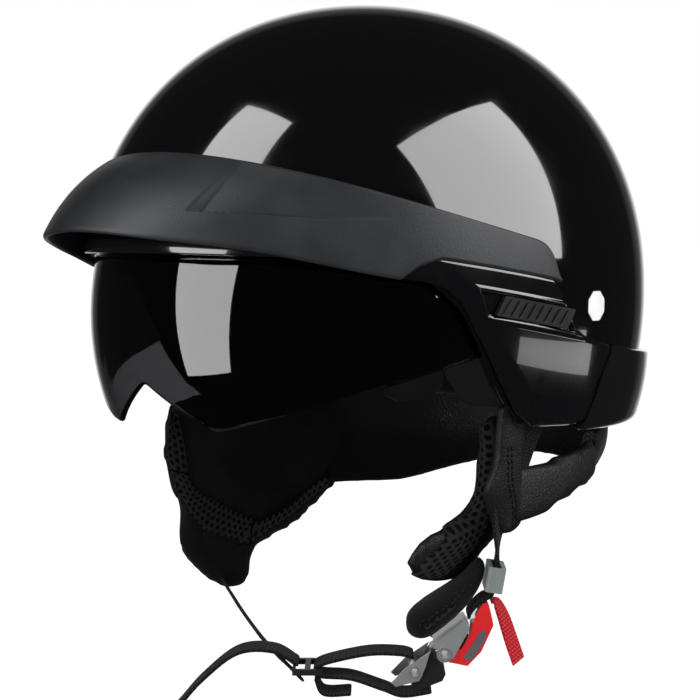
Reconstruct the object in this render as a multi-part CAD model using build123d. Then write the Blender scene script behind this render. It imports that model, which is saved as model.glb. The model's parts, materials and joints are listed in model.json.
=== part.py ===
"""A half shell motorcycle helmet: shell, liner, drop-down sun lens, clip-on peak and chin strap.

Millimetres. +Z up, the wearer looks along -Y, the wearer's left is +X.
The origin is the centre of the head cavity, on the widest level of the dome.
"""
import math
import os
from functools import lru_cache

from build123d import *

# Outer shell: half sizes from the centre of the dome to its outer face
shell_half_length = 141.0
shell_half_width = 118.0
shell_half_height = 132.0
shell_wall = 3.0
roundness_share = 2.12  # power of the superellipse that the dome's profile follows
dome_step_count = 8  # curve stations in each quarter of the profile
fit_gap = 0.3  # between the layers, and between pieces that only lie side by side
running_gap = 0.06  # radial play of a pin in its hole
overrun = 20.0  # how far a cutting tool runs past what it cuts
bore_seam = 60.0  # degrees that a bore's seam is turned, so that it misses the dome's own seams

# Side outlines, seen from the left: shares of the half length (back positive) and half height
rim_shares = [(-1.3, 0.174), (-0.76, 0.143), (-0.50, 0.088), (-0.375, -0.03),
              (-0.30, -0.175), (-0.21, -0.315), (-0.12, -0.405), (0.05, -0.42), (1.3, -0.42)]
rim_corner = 7.0
cover_shares = [(-0.567, 0.073), (-0.52, 0.108), (-0.454, 0.130), (-0.052, 0.060), (0.012, -0.060),
                (0.043, -0.100), (0.100, -0.138), (0.252, -0.174), (0.190, -0.285), (0.141, -0.418),
                (-0.085, -0.410), (-0.150, -0.365), (-0.237, -0.255), (-0.333, -0.097),
                (-0.382, -0.006), (-0.426, 0.033), (-0.478, 0.059)]
band_shares = [(0.256, -0.174), (0.194, -0.285), (0.145, -0.418), (0.170, -0.432), (1.2, -0.450),
               (1.2, -0.255), (0.62, -0.225)]

# Rear band and side covers
skirt_standoff = 3.0  # outer face over the shell at the widest level
skirt_half_height = 165.0  # a taller curve than the shell's, so the skirt hangs nearly plumb
ridge_height = 1.6  # the raised strip round the slot
ridge_shares = [(-0.43, 0.052), (-0.345, 0.060), (0.018, -0.012), (0.036, -0.125), (-0.02, -0.135),
                (-0.300, -0.075)]
band_step = 1.0  # the band stands this much over the cover

# Slot and lock slider on the side covers, in the slot's own plane
slot_length = 47.0
slot_height = 9.5
slot_slant = 3.5  # how far the ends lean
slot_slope_share = -0.172  # rise of the slot for each unit towards the back
slot_middle_shares = (-0.152, -0.043)
slot_floor = 1.3  # floor of the slot over the shell at its middle
slider_length = 40.0
slider_thickness = 2.2
slider_rib_count = 8
slider_rib = 2.2
slider_rib_height = 0.9
slider_grip_share = 0.92  # of the slider's length that the ribs cover
slot_front_y = slot_middle_shares[0] * shell_half_length - slot_length / 2
slot_rear_y = slot_middle_shares[0] * shell_half_length + slot_length / 2

# Edge trim on the front rim
trim_outer = 1.4
trim_inner = 0.8
trim_lap = 4.5
trim_drop = 1.8
trim_end_shares = (-0.575, 0.105)

# Peak
peak_centre_share = -0.284  # of the half length: axis that the peak's plan turns about
peak_reach = 123.0  # from that axis to the lip at the front; the lip's height follows it too
peak_stand = 24.8  # from the shell to the lip at the front
peak_wall = 2.4
peak_top_mean = 30.0  # height of the upper edge at the sides
peak_top_rise = 31.6  # and how much higher it is at the front
peak_edge = 1.5  # how proud the upper edge stands
peak_crown = 4.0  # how far the bill's top bulges over a straight line
# azimuth in degrees, then how far the lip stands off the shell as a share of its stand at the front,
# its height as a share of the reach, and the share of the crown
peak_lip_shares = [(0, 1.00, 0.240, 1.0), (16, 0.99, 0.229, 1.0), (32, 0.95, 0.186, 0.9),
                   (48, 0.83, 0.130, 0.7), (62, 0.62, 0.086, 0.4), (76, 0.36, 0.056, 0.2),
                   (90, 0.20, 0.028, 0.1), (105, 0.17, 0.000, 0.0)]
peak_trim_shares = [(-1.4, 0.9), (-1.4, -0.2), (-0.80, -0.2), (-0.572, 0.075), (-0.52, 0.112),
                    (-0.454, 0.134), (-0.056, 0.064), (-0.075, 0.140), (-0.110, 0.172),
                    (-0.138, 0.184), (-0.91, 0.470), (-1.05, 0.55), (-1.05, 0.9)]
# the pressed-in panel on each side: places by azimuth in degrees and share of the way to the lip
panel_depth = 1.4
panel_fade = 0.15  # how far the panel's face starts outside the bill where it fades out
panel_corner_shares = (17.3, 0.76)
panel_end_shares = (66.0, 0.42)
panel_apex_shares = (31.2, 0.0)
panel_wall_turn = 4.0  # degrees of azimuth that the slanting wall at its front takes
panel_bend_share = 0.66  # of the way to the ledge: where the panel follows the bill's own bend
panel_step_count = 5

# Sun lens: a piece of a spheroid about the pivots' common axis
lens_radius = 122.0
lens_half_width = 110.0
lens_wall = 2.2
pivot_back_share = -0.1135
pivot_up_share = -0.0758
lens_side_shares = [(-0.98, 0.205), (-0.70, 0.178), (-0.50, 0.125), (-0.33, 0.062), (-0.165, 0.010),
                    (-0.052, -0.030), (-0.052, -0.125), (-0.16, -0.150), (-0.42, -0.222),
                    (-0.70, -0.36), (-0.98, -0.48)]
lens_face_shares = [(0.0, -0.268), (0.10, -0.325), (0.262, -0.418), (0.335, -0.412), (0.62, -0.330),
                    (0.855, -0.224), (1.3, -0.10)]
lens_corner = 6.0
lens_swing = 38.0
pocket_depth_gap = 1.6  # between the lens and the liner behind it
pocket_shares = [(-0.01, -0.21), (-0.01, 0.05), (-0.13, 0.29), (-0.35, 0.62), (-0.53, 0.83), (-0.72, 1.10),
                 (-1.4, 1.10), (-1.4, -0.7), (-0.01, -0.7)]
hub_radius = 10.0
pivot_pin_radius = 4.0
pivot_head_radius = 6.5
pivot_head_height = 1.8
bracket_plate = 1.6
bracket_radius = 6.5
tab_shares = [(-0.56, -0.280), (-0.40, -0.222), (-0.395, -0.275), (-0.43, -0.318), (-0.52, -0.322),
              (-0.555, -0.300)]
tab_wall = 1.4

# Liner and pads
liner_length = 108.0  # half sizes of the liner's inner face
liner_width = 87.0
liner_height = 101.5
liner_rim_inset = 5.0
pad_thickness = 7.6
crown_pad_level = 66.0
brow_pad_low = 21.0
brow_pad_high = 47.0
brow_pad_back = -34.0
side_pad_low = -46.0
side_pad_high = 20.0
side_pad_half = 40.0
nape_pad_low = -48.0
nape_pad_high = 6.0
nape_pad_front = 46.0

# Ear flaps: level, front edge, rear edge, face of the flap, all shares of the flap's drop
flap_drop = 110.0
flap_thickness = 12.0
right_flap_shares = [(-0.462, -0.47, 0.54, 0.86), (-0.62, -0.54, 0.555, 0.845), (-0.82, -0.555, 0.53, 0.815),
                     (-0.97, -0.50, 0.44, 0.790), (-1.10, -0.485, 0.26, 0.775), (-1.19, -0.44, 0.02, 0.765),
                     (-1.29, -0.33, -0.04, 0.755), (-1.385, -0.19, -0.07, 0.745)]
left_flap_shares = [(-0.462, -0.33, 0.50, 0.85), (-0.62, -0.30, 0.50, 0.84), (-0.80, -0.29, 0.34, 0.790),
                    (-0.92, -0.40, 0.17, 0.755), (-1.00, -0.47, 0.07, 0.712), (-1.08, -0.46, -0.01, 0.672),
                    (-1.17, -0.34, -0.12, 0.655)]

# Nape curtain: level, half width, half length, all shares of its top half length
curtain_length = 126.0
curtain_wall = 11.0
curtain_shares = [(-0.403, 0.826, 0.998), (-0.47, 0.824, 0.995), (-0.60, 0.785, 0.955), (-0.70, 0.74, 0.885),
                  (-0.785, 0.69, 0.81)]
curtain_front = 63.0

# Chin strap, drawn in the buckle's own plane: across the photograph's view, and up
view_turn = 46.0  # degrees that the buckle's plane is turned about the upright axis
webbing_width = 20.0
webbing_thickness = 1.6
buckle_place_shares = (0.628, -0.191, -1.180)  # of half width, half length and half height
buckle_length = 18.5  # from the lever pin to the frame's upper end
channel_slope = 36.87  # degrees of the ratchet channel over level
plate = 1.2
pin_radius = 2.4
pin_bore = 1.8
boss_radius = 3.6
lever_length = 33.0
lever_swing = 35.0
tooth_pitch = 2.0
tooth_depth = 0.8
tooth_count = 6
rack_thickness = 1.6
rack_half_width = 6.0
floor_end_share = 0.86  # of the buckle's length: where the ratchet channel's floor ends
webbing_play = 0.45  # at each side of the webbing inside the buckle
tooth_shares = (0.25, 0.45, 0.95)  # of the pitch: end of the tip, foot of the steep face, start of the slope
lug_shares = [(0, 0.12), (0.12, 0.16), (0.42, 0.10), (0.50, -0.10), (0.12, -0.22), (0, -0.12)]
pawl_pitches = 3.7  # where the pawl bites, in tooth pitches from the lever pin
keeper_height = 11.0
keeper_wall = 2.0
keeper_shares = (1.19, 1.75)
keeper_slope = 80.0
spring_wire = 0.7
spring_turns = 2
# outlines in the buckle's plane, shares of the buckle's length from the lever pin
cheek_shares = [(-0.325, 0.195), (0.462, 0.790), (0.595, 0.627), (0.195, -0.120)]
lever_shares = [(0.10, -0.205), (0.54, -0.295), (0.865, 0.05), (1.15, 0.68), (1.08, 1.00), (1.02, 1.22),
                (0.90, 1.20), (0.78, 1.02), (0.70, 0.84), (0.565, 0.42), (0.32, -0.02)]
inlay_shares = [(0.42, -0.13), (0.63, -0.17), (0.93, 0.28), (1.00, 0.57), (0.86, 0.55), (0.60, 0.14)]
holder_shares = [(-0.300, 0.085), (-0.225, -0.110), (-0.035, -0.265), (0.025, -0.490), (-0.05, -0.65),
                 (-0.62, -0.87), (-0.75, -0.82), (-0.86, -0.52), (-0.56, -0.38)]
clevis_shares = [(-0.345, 0.060), (-0.455, -0.31), (-0.60, -0.63), (-1.15, -0.77), (-1.26, -0.68),
                 (-0.92, -0.33)]
clevis_pin_shares = (-0.71, -0.43)
loop_shares = [(-0.30, -0.93), (-0.98, -1.02), (-1.45, -0.87), (-2.20, -0.62), (-2.90, -0.56),
               (-3.06, -0.42), (-2.90, -0.28), (-2.30, -0.12), (-1.66, -0.02), (-1.00, -0.04), (-0.72, -0.12)]
tail_shares = [(-3.45, -0.30), (-4.05, 0.03), (-4.90, -0.02), (-5.75, -0.68), (-6.45, -1.45), (-7.2, -1.95)]
hanger_shares = [(0.95, 1.34), (0.74, 1.18), (0.61, 0.96), (0.56, 0.80)]  # the left strap below the keeper
under_tail_shares = [(-3.05, -0.62), (-2.85, -0.98), (-2.20, -0.98)]
ribbon_shares = [(1.10, 1.18), (1.25, 1.12), (1.42, 0.76), (1.60, 0.22), (1.78, -0.30)]
ribbon_width = 12.0
adjuster_length = 13.0
adjuster_height = 5.0
adjuster_slot = 4.2
adjuster_shares = (-3.24, -0.42)
chin_pad_shares = [(0.40, 1.42), (0.32, 1.06), (0.05, 0.68), (-0.44, 0.24), (-0.64, 0.12), (-0.95, 0.30),
                   (-1.05, 0.62), (-0.80, 0.95), (-0.30, 1.28), (-0.08, 1.42)]
chin_pad_width = 34.0
chin_pad_corner = 1.0
# the left strap: places as shares of the three half sizes, and the turn of its width in degrees
left_strap_shares = [(0.911, 0.045, -0.230, 0), (0.905, 0.045, -0.290, 0), (0.878, 0.028, -0.440, 0),
                     (0.838, 0.016, -0.590, 0), (0.800, -0.010, -0.740, 12), (0.772, -0.040, -0.835, 32)]
right_strap_shares = [(-0.690, -0.140, -1.172), (-0.480, -0.252, -1.190), (-0.249, -0.389, -1.205),
                      (-0.025, -0.500, -1.220), (0.144, -0.549, -1.235), (0.228, -0.538, -1.239)]

# Fasteners
rivet_radius = 2.5
rivet_head = 4.5
anchor_length = 22.0
anchor_height = 13.0
anchor_plate = 1.5
anchor_shares = (0.055, -0.215)
screw_radius = 1.6
screw_head = 3.2
screw_head_height = 1.6
screw_shares = [(-0.130, -0.310), (0.145, -0.330)]

# Size sticker, left bare
sticker_radius = 7.0
sticker_film = 0.25
sticker_shares = (0.181, -0.036)


def length_size():
    """The three half sizes of the shell, in X, Y, Z order."""
    return shell_half_width, shell_half_length, shell_half_height


def profile_point(across, up, turn):
    """One point of a superellipse: across and up are its half sizes, turn runs up from level."""
    power = 2 / roundness_share
    flat, steep = math.cos(turn), math.sin(turn)
    return across * abs(flat) ** power, math.copysign(up * abs(steep) ** power, steep)


@lru_cache(maxsize=None)
def egg(half_width, half_length, half_height):
    """A closed dome: a superellipse turned about the upright axis, then narrowed across."""
    quarter = math.pi / 2
    turns = [quarter - quarter * step / dome_step_count for step in range(2 * dome_step_count + 1)]
    points = [Vector(0, *profile_point(half_length, half_height, turn)) for turn in turns]
    rim = Spline(*points, tangents=[(0, 1, 0), (0, -1, 0)])
    profile = make_face(Curve([rim, Line(points[-1], points[0])]))
    return scale(revolve(profile, Axis.Z, 360), by=(half_width / half_length, 1, 1))


def dome(depth):
    """The dome at a depth below the shell's outer face; a negative depth stands over it."""
    return egg(*(size - depth for size in length_size()))


def skirt(extra):
    """The outer face of the covers and the band: nearly plumb below the widest level."""
    stand = skirt_standoff + extra
    return egg(shell_half_width + stand, shell_half_length + stand, skirt_half_height + extra)


def scaled(shares, across, up):
    return [(share[0] * across, share[1] * up) for share in shares]


def side_face(shares):
    """A face in the side view, from shares of the half length and the half height."""
    return Plane.YZ * make_face(Polyline(*scaled(shares, shell_half_length, shell_half_height), close=True))


def side_slab(shares, near, far, corner=0.0):
    """A slab across the helmet from X = near to X = far with the outline of the side view."""
    face = side_face(shares)
    if corner:
        face = fillet(face.vertices(), corner)
    return extrude(Pos(near, 0, 0) * face, far - near, dir=(1, 0, 0))


def half_slab(shares, corner=0.0):
    return side_slab(shares, 0, shell_half_width + overrun, corner)


def full_slab(shares, corner=0.0):
    reach = shell_half_width + overrun
    return side_slab(shares, -reach, reach, corner)


def side_place(shares):
    return shares[0] * shell_half_length, shares[1] * shell_half_height


def shell_face(back, up, depth):
    """X of the dome's face at a place of the side view, at a depth below the outer face."""
    across, along, high = (size - depth for size in length_size())
    level = 1 - abs(up / high) ** roundness_share
    ring = level ** (2 / roundness_share)
    return across * math.sqrt(max(ring - (back / along) ** 2, 0))


def rim_cut(inset):
    """What lies below the rim line, raised by an inset."""
    line = [(y * shell_half_length, z * shell_half_height + inset) for y, z in rim_shares]
    reach = shell_half_height + overrun
    line = [(y + (inset if y * z < 0 and z < 0 else 0), z) for y, z in line]
    edge = FilletPolyline(*line, radius=rim_corner)
    close = Polyline(line[-1], (line[-1][0], -reach), (line[0][0], -reach), line[0])
    half = shell_half_width + overrun
    return extrude(Pos(-half, 0, 0) * (Plane.YZ * make_face(Curve([edge, close]))), 2 * half, dir=(1, 0, 0))


def rod(radius, start, end):
    """A round bar between two places."""
    start, end = Vector(*start), Vector(*end)
    base = Plane(start, z_dir=end - start)
    return extrude(base * Circle(radius), (end - start).length)


def cross_bore(shares, radius, near, far):
    """A round tool along X through a place of the side view."""
    disk = Plane.YZ * Pos(*side_place(shares)) * Rot(0, 0, bore_seam) * Circle(radius)
    return extrude(Pos(near, 0, 0) * disk, far - near, dir=(1, 0, 0))


def both_sides(solid):
    return solid, mirror(solid, Plane.YZ)


# Shell and its trim

def plain_shell():
    return dome(0) - dome(shell_wall) - rim_cut(0)


def make_shell():
    """The shell: an egg-shaped dome, open below the rim line, bored on both sides for its rivets and screws."""
    shell = plain_shell()
    reach = shell_half_width + overrun
    for shares in [anchor_shares, *screw_shares]:
        radius = rivet_radius if shares is anchor_shares else screw_radius
        shell -= cross_bore(shares, radius + running_gap, -reach, reach)
    return shell


def make_trim():
    """A channel that grips the front rim: a little thicker than the shell on both faces."""
    front = [*rim_shares[:2], trim_end_shares]
    upper = [(y, z + trim_lap / shell_half_height) for y, z in front]
    lower = [(y, z - trim_drop / shell_half_height) for y, z in reversed(front)]
    strip = full_slab(upper + lower)
    channel = (dome(-trim_outer) - dome(shell_wall + trim_inner)) & strip
    return channel - plain_shell()


# Covers, band and what is fixed to them

def slot_frame():
    """The flat floor of the slider's slot on the left cover: a plane that faces outwards."""
    front = Vector(shell_face(slot_front_y, slot_mid_z(slot_front_y), 0), slot_front_y, slot_mid_z(slot_front_y))
    rear = Vector(shell_face(slot_rear_y, slot_mid_z(slot_rear_y), 0), slot_rear_y, slot_mid_z(slot_rear_y))
    along = (front - rear).normalized()
    middle_y = (slot_front_y + slot_rear_y) / 2
    middle = Vector(shell_face(middle_y, slot_mid_z(middle_y), 0), middle_y, slot_mid_z(middle_y))
    outward = Vector(0, 0, 1).cross(along)
    return Plane(middle + outward.normalized() * slot_floor, x_dir=along, z_dir=outward)


def slot_mid_z(back):
    middle_y, middle_z = side_place(slot_middle_shares)
    return middle_z + slot_slope_share * (back - middle_y)


def leaning_bar(length, height, lean):
    """A parallelogram centred on the plane's origin, with its rear end leaning down and back."""
    half, tall = length / 2, height / 2
    return make_face(Polyline((half - lean / 2, -tall), (half + lean / 2, tall), (lean / 2 - half, tall),
                              (-half - lean / 2, -tall), close=True))


def make_cover():
    body = (skirt(0) & half_slab(cover_shares)) - dome(-fit_gap)
    cover = body + ((skirt(ridge_height) & half_slab(ridge_shares)) - skirt(0))
    slot = extrude(slot_frame() * leaning_bar(slot_length, slot_height, slot_slant), overrun)
    cover -= slot
    for shares in screw_shares:
        face = shell_face(*side_place(shares), 0)
        cover -= cross_bore(shares, screw_radius + running_gap, face - overrun, face + skirt_standoff / 2)
    return cover


def make_slider():
    """The lock slider: a bar with eight leaning ribs, resting at the slot's rear end."""
    frame = slot_frame()
    rest = -(slot_length - slider_length) / 2 + fit_gap
    height = slot_height - 2 * fit_gap
    base = Plane(frame.origin + frame.z_dir * fit_gap, x_dir=frame.x_dir, z_dir=frame.z_dir)
    slider = extrude(base * Pos(rest, 0, 0) * leaning_bar(slider_length, height, slot_slant), slider_thickness)
    grip = slider_length * slider_grip_share
    for rib in range(slider_rib_count):
        place = rest + grip * ((rib + 1 / 2) / slider_rib_count - 1 / 2)
        shape = Pos(place, 0, slider_thickness) * leaning_bar(slider_rib, height - slider_rib, slot_slant)
        slider += extrude(base * shape, slider_rib_height)
    return slider


def make_band():
    return (skirt(band_step) & full_slab(band_shares)) - dome(-fit_gap)


def make_sticker():
    back, up = side_place(sticker_shares)
    flat = Plane.YZ * Pos(back, up) * RegularPolygon(sticker_radius, 8, rotation=22.5)
    column = extrude(flat, shell_half_width + overrun, dir=(1, 0, 0))
    return (dome(-sticker_film) & column) - dome(0)


# Peak

def peak_axis():
    return peak_centre_share * shell_half_length


def dome_reach(azimuth, up, depth):
    """Distance from the peak's axis to the dome along an azimuth, at a height."""
    across, along, high = (size - depth for size in length_size())
    turn = math.radians(azimuth)
    ring = (1 - abs(up / high) ** roundness_share) ** (2 / roundness_share)
    a = (math.sin(turn) / across) ** 2 + (math.cos(turn) / along) ** 2
    b = -2 * peak_axis() * math.cos(turn) / along ** 2
    c = (peak_axis() / along) ** 2 - ring
    return (-b + math.sqrt(b * b - 4 * a * c)) / (2 * a)


def bill_line(row):
    """At one azimuth: the outer face's upper edge, crown and lip, as reach and height, and the way out of it."""
    azimuth, stand_share, level_share, crown_share = row
    top = peak_top_mean + peak_top_rise * math.cos(math.radians(azimuth))
    level = level_share * peak_reach
    lip = Vector(dome_reach(azimuth, level, 0) + stand_share * peak_stand, level)
    upper = Vector(dome_reach(azimuth, top, 0) + peak_edge, top)
    slope = lip - upper
    out = Vector(-slope.Y, slope.X).normalized()
    crown = (upper + lip) / 2 + out * peak_crown * crown_share
    return upper, crown, lip, out


def peak_plane(azimuth):
    """The upright plane through the peak's axis at an azimuth: x runs outwards and y up."""
    turn = math.radians(azimuth)
    return Plane((0, peak_axis(), 0), x_dir=(math.sin(turn), -math.cos(turn), 0),
                 z_dir=(-math.cos(turn), -math.sin(turn), 0))


def peak_section(row, wall):
    """The peak's section at one azimuth, from inside the dome out to the lip."""
    azimuth = row[0]
    upper, crown, lip, out = bill_line(row)
    top, high = upper.Y, upper.Y + overrun / 2
    above = dome_reach(azimuth, high, 0) + peak_edge
    inner = dome_reach(azimuth, top, 0) - overrun
    bottom = lip.Y - peak_wall
    if wall:
        inner, bottom = inner - overrun / 4, lip.Y - overrun
    outline = [(inner, high), (above - wall, high), (upper.X - wall, top), crown - out * wall,
               (lip.X - wall, lip.Y), (lip.X - wall, bottom), (inner, bottom)]
    return peak_plane(azimuth) * make_face(Polyline(*outline, close=True))


def peak_loft(wall):
    rows = [(-row[0], *row[1:]) for row in reversed(peak_lip_shares[1:])] + peak_lip_shares
    return loft([peak_section(row, wall) for row in rows])


def lip_row(azimuth):
    """The bill's row at any azimuth, between the two rows beside it."""
    low, high = next(pair for pair in zip(peak_lip_shares, peak_lip_shares[1:]) if azimuth <= pair[1][0])
    part = (azimuth - low[0]) / (high[0] - low[0])
    return [start + (end - start) * part for start, end in zip(low, high)]


def bill_place(azimuth, share, lift):
    """A place over the bill's face: a share of the way from its upper edge to the lip."""
    upper, crown, lip, out = bill_line(lip_row(azimuth))
    half = min(share, 1 / 2)
    place = upper + (crown - upper) * half * 2 + (lip - crown) * (share - half) * 2
    return place + out * lift


def panel_section(azimuth):
    """The panel cutter's section: its floor sinks into the bill towards the ledge at its foot."""
    part = (azimuth - panel_corner_shares[0]) / (panel_end_shares[0] - panel_corner_shares[0])
    ledge = panel_corner_shares[1] + (panel_end_shares[1] - panel_corner_shares[1]) * part
    depth = panel_depth * (1 - part) - panel_fade * part
    bend = ledge * panel_bend_share
    outline = [bill_place(azimuth, 0, overrun / 2), bill_place(azimuth, 0, panel_fade),
               bill_place(azimuth, bend, -depth * panel_bend_share), bill_place(azimuth, ledge, -depth),
               bill_place(azimuth, ledge, overrun / 2)]
    return peak_plane(azimuth) * make_face(Polyline(*outline, close=True))


def panel_cutter():
    """What is pressed into the bill's left side: a panel between a slanting wall and a ledge."""
    start = panel_corner_shares[0] - panel_wall_turn
    step = (panel_end_shares[0] - start) / (panel_step_count - 1)
    body = loft([panel_section(start + step * place) for place in range(panel_step_count)])
    corner, apex, deep = [(peak_plane(azimuth) * Pos(*bill_place(azimuth, share, lift))).position
                          for azimuth, share, lift in [(*panel_corner_shares, 0), (*panel_apex_shares, 0),
                                                       (panel_corner_shares[0] + panel_wall_turn,
                                                        panel_corner_shares[1], -panel_depth)]]
    size = 2 * shell_half_length
    wall = Plane(corner, x_dir=apex - corner, z_dir=(deep - corner).cross(apex - corner))
    return body & wall * Box(size, size, size, align=(Align.CENTER, Align.CENTER, Align.MIN))


def make_peak():
    """A thin bill with wings: a loft from section to section, hollow under the bill, seated on the dome."""
    front = Pos(0, -shell_half_length, 0) * Box(4 * shell_half_length, 2 * shell_half_length, shell_half_height)
    bill = (peak_loft(0) & full_slab(peak_trim_shares)) - (dome(-fit_gap) & front)
    bill = max((bill - peak_loft(peak_wall)).solids(), key=lambda solid: solid.volume)
    for cutter in both_sides(panel_cutter()):
        bill -= cutter
    return bill


# Sun lens and its pivots

def pivot_place():
    return pivot_back_share * shell_half_length, pivot_up_share * shell_half_height


def spheroid(radius, half_width):
    """A spheroid about the pivots' common axis."""
    back, up = pivot_place()
    arc = EllipticalCenterArc((0, 0), half_width, radius, arc_size=180)
    profile = make_face(Curve([arc, Line((half_width, 0), (-half_width, 0))]))
    return Pos(0, back, up) * revolve(profile, Axis.X, 360)


def make_lens():
    shell = spheroid(lens_radius, lens_half_width) - spheroid(lens_radius - lens_wall, lens_half_width - lens_wall)
    side = side_face(lens_side_shares)
    side = fillet(side.vertices(), lens_corner)
    hub_back, hub_up = pivot_place()
    side += Plane.YZ * Pos(hub_back, hub_up) * Circle(hub_radius)
    reach = lens_half_width + overrun
    lens = shell & extrude(Pos(-reach, 0, 0) * side, 2 * reach, dir=(1, 0, 0))
    across, high = shell_half_width, shell_half_height
    lower = scaled(lens_face_shares, across, high)
    lower = [(-x, z) for x, z in reversed(lower[1:])] + lower
    edge = FilletPolyline(*lower, radius=lens_corner)
    floor = -high - overrun
    below = make_face(Curve([edge, Polyline(lower[-1], (lower[-1][0], floor), (lower[0][0], floor), lower[0])]))
    front = extrude(Plane.XZ * below, shell_half_length + overrun)
    keep_back = Pos(0, hub_back - hub_radius, 0) * Box(2 * reach, 2 * overrun, 2 * high,
                                                       align=(Align.CENTER, Align.MIN, Align.CENTER))
    lens -= front - keep_back
    for side_sign in (1, -1):
        lens -= rod(pivot_pin_radius + running_gap, (0, hub_back, hub_up), (side_sign * reach, hub_back, hub_up))
    return lens


def make_tab():
    """The finger tab under the lens's left lower edge."""
    radius, half = lens_radius - lens_wall / 2 + tab_wall / 2, lens_half_width - lens_wall / 2 + tab_wall / 2
    layer = spheroid(radius, half) - spheroid(radius - tab_wall, half - tab_wall)
    return (layer & half_slab(tab_shares, lens_corner / 6)) - make_lens()


def make_bracket():
    """A plate inside the shell with the pin that the lens turns on."""
    back, up = pivot_place()
    face = lens_half_width + fit_gap * 2
    plate_face = face + bracket_plate
    body = rod(bracket_radius, (face, back, up), (plate_face, back, up))
    lens_inner = lens_half_width - lens_wall
    body += rod(pivot_pin_radius, (lens_inner - fit_gap, back, up), (face, back, up))
    return body - rod(screw_radius, (0, back, up), (plate_face + overrun, back, up))


def make_pivot_screw():
    back, up = pivot_place()
    seat = lens_half_width - lens_wall - fit_gap
    head = rod(pivot_head_radius, (seat - pivot_head_height, back, up), (seat, back, up))
    return head + rod(screw_radius, (seat, back, up), (lens_half_width + bracket_plate, back, up))


# Liner and pads

def liner_inner(thickness):
    return egg(liner_width - thickness, liner_length - thickness, liner_height - thickness)


def make_liner():
    liner = dome(shell_wall + fit_gap) - liner_inner(0) - rim_cut(liner_rim_inset)
    pocket = full_slab(pocket_shares) - spheroid(lens_radius - lens_wall - pocket_depth_gap,
                                                 lens_half_width - lens_wall - pocket_depth_gap)
    liner -= pocket
    back, up = pivot_place()
    reach = shell_half_width + overrun
    seat = lens_half_width - lens_wall - pivot_head_height - pocket_depth_gap
    anchor_back, anchor_up = side_place(anchor_shares)
    channel_inner = shell_face(anchor_back, anchor_up, shell_wall) - anchor_plate - webbing_thickness * 5
    channel_width = anchor_length + 2 * fit_gap * 5
    for side in (1, -1):
        liner -= rod(pivot_head_radius + pocket_depth_gap, (side * seat, back, up), (side * reach, back, up))
        channel = Pos(side * channel_inner, anchor_back, anchor_up + anchor_height) * \
            Box(overrun * 2, channel_width, shell_half_height,
                align=(Align.MIN if side > 0 else Align.MAX, Align.CENTER, Align.MAX))
        liner -= channel
        for shares in screw_shares:
            screw_back, screw_up = side_place(shares)
            depth = shell_face(screw_back, screw_up, shell_wall) - screw_head_height - pocket_depth_gap
            liner -= rod(screw_head + pocket_depth_gap / 2, (side * depth, screw_back, screw_up),
                         (side * reach, screw_back, screw_up))
    return liner


def level_slab(low, high):
    size = 4 * shell_half_length
    return Pos(0, 0, low) * Box(size, size, high - low, align=(Align.CENTER, Align.CENTER, Align.MIN))


def pad_layer():
    return liner_inner(fit_gap) - liner_inner(fit_gap + pad_thickness)


def back_half(front):
    size = 4 * shell_half_length
    return Pos(0, front, 0) * Box(size, size, size, align=(Align.CENTER, Align.MIN, Align.CENTER))


def make_crown_pad():
    return pad_layer() & level_slab(crown_pad_level, liner_height)


def make_brow_pad():
    size = 4 * shell_half_length
    front = Pos(0, brow_pad_back, 0) * Box(size, size, size, align=(Align.CENTER, Align.MAX, Align.CENTER))
    return pad_layer() & level_slab(brow_pad_low, brow_pad_high) & front


def make_side_pad():
    size = 4 * shell_half_length
    block = Box(size, 2 * side_pad_half, size, align=(Align.MIN, Align.CENTER, Align.CENTER))
    return pad_layer() & level_slab(side_pad_low, side_pad_high) & block


def make_nape_pad():
    return pad_layer() & level_slab(nape_pad_low, nape_pad_high) & back_half(nape_pad_front)


# Ear flaps and nape curtain

def flap_section(row, thickness):
    """A level cut of a flap: two arcs that follow the head, closed by straight ends."""
    level, front, rear, face = (share * flap_drop for share in row)
    outer, inner = face + thickness / 2, face - thickness / 2
    middle = (front + rear) / 2
    bend = ((rear - front) / 2) ** 2 / (2 * shell_half_length)
    ends = [(outer - bend, front), (outer, middle), (outer - bend, rear)]
    back = [(inner - bend, rear), (inner, middle), (inner - bend, front)]
    shape = Curve([ThreePointArc(*ends), Line(ends[2], back[0]), ThreePointArc(*back), Line(back[2], ends[0])])
    return Pos(0, 0, level) * make_face(shape)


def make_flap(rows):
    return loft([flap_section(row, flap_thickness) for row in rows])


def curtain_ring(row, inset):
    level, across, along = (share * curtain_length for share in row)
    return Pos(0, 0, level) * Ellipse(across - inset, along - inset)


def make_curtain():
    """The nape curtain: a tapering ring behind the ears."""
    outer = loft([curtain_ring(row, 0) for row in curtain_shares])
    inner = loft([curtain_ring(row, curtain_wall) for row in curtain_shares])
    return (outer - inner) & back_half(curtain_front)


# Chin strap: pieces drawn in the buckle's plane

def buckle_plane():
    turn = math.radians(view_turn)
    place = [share * size for share, size in zip(buckle_place_shares, length_size())]
    return Plane(tuple(place), x_dir=(math.cos(turn), math.sin(turn), 0),
                 z_dir=(math.sin(turn), -math.cos(turn), 0))


def strap_points(shares):
    return scaled(shares, buckle_length, buckle_length)


def across_strap(face, near, far):
    """A face of the buckle's plane, given a width from near to far along the plane's normal."""
    plane = buckle_plane()
    return extrude(plane * Pos(0, 0, near) * face, far - near, dir=plane.z_dir)


def across_middle(face, width):
    return across_strap(face, -width / 2, width / 2)


def buckle_outline(shares, corner=0.0):
    face = make_face(Polyline(*strap_points(shares), close=True))
    return fillet(face.vertices(), corner) if corner else face


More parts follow.
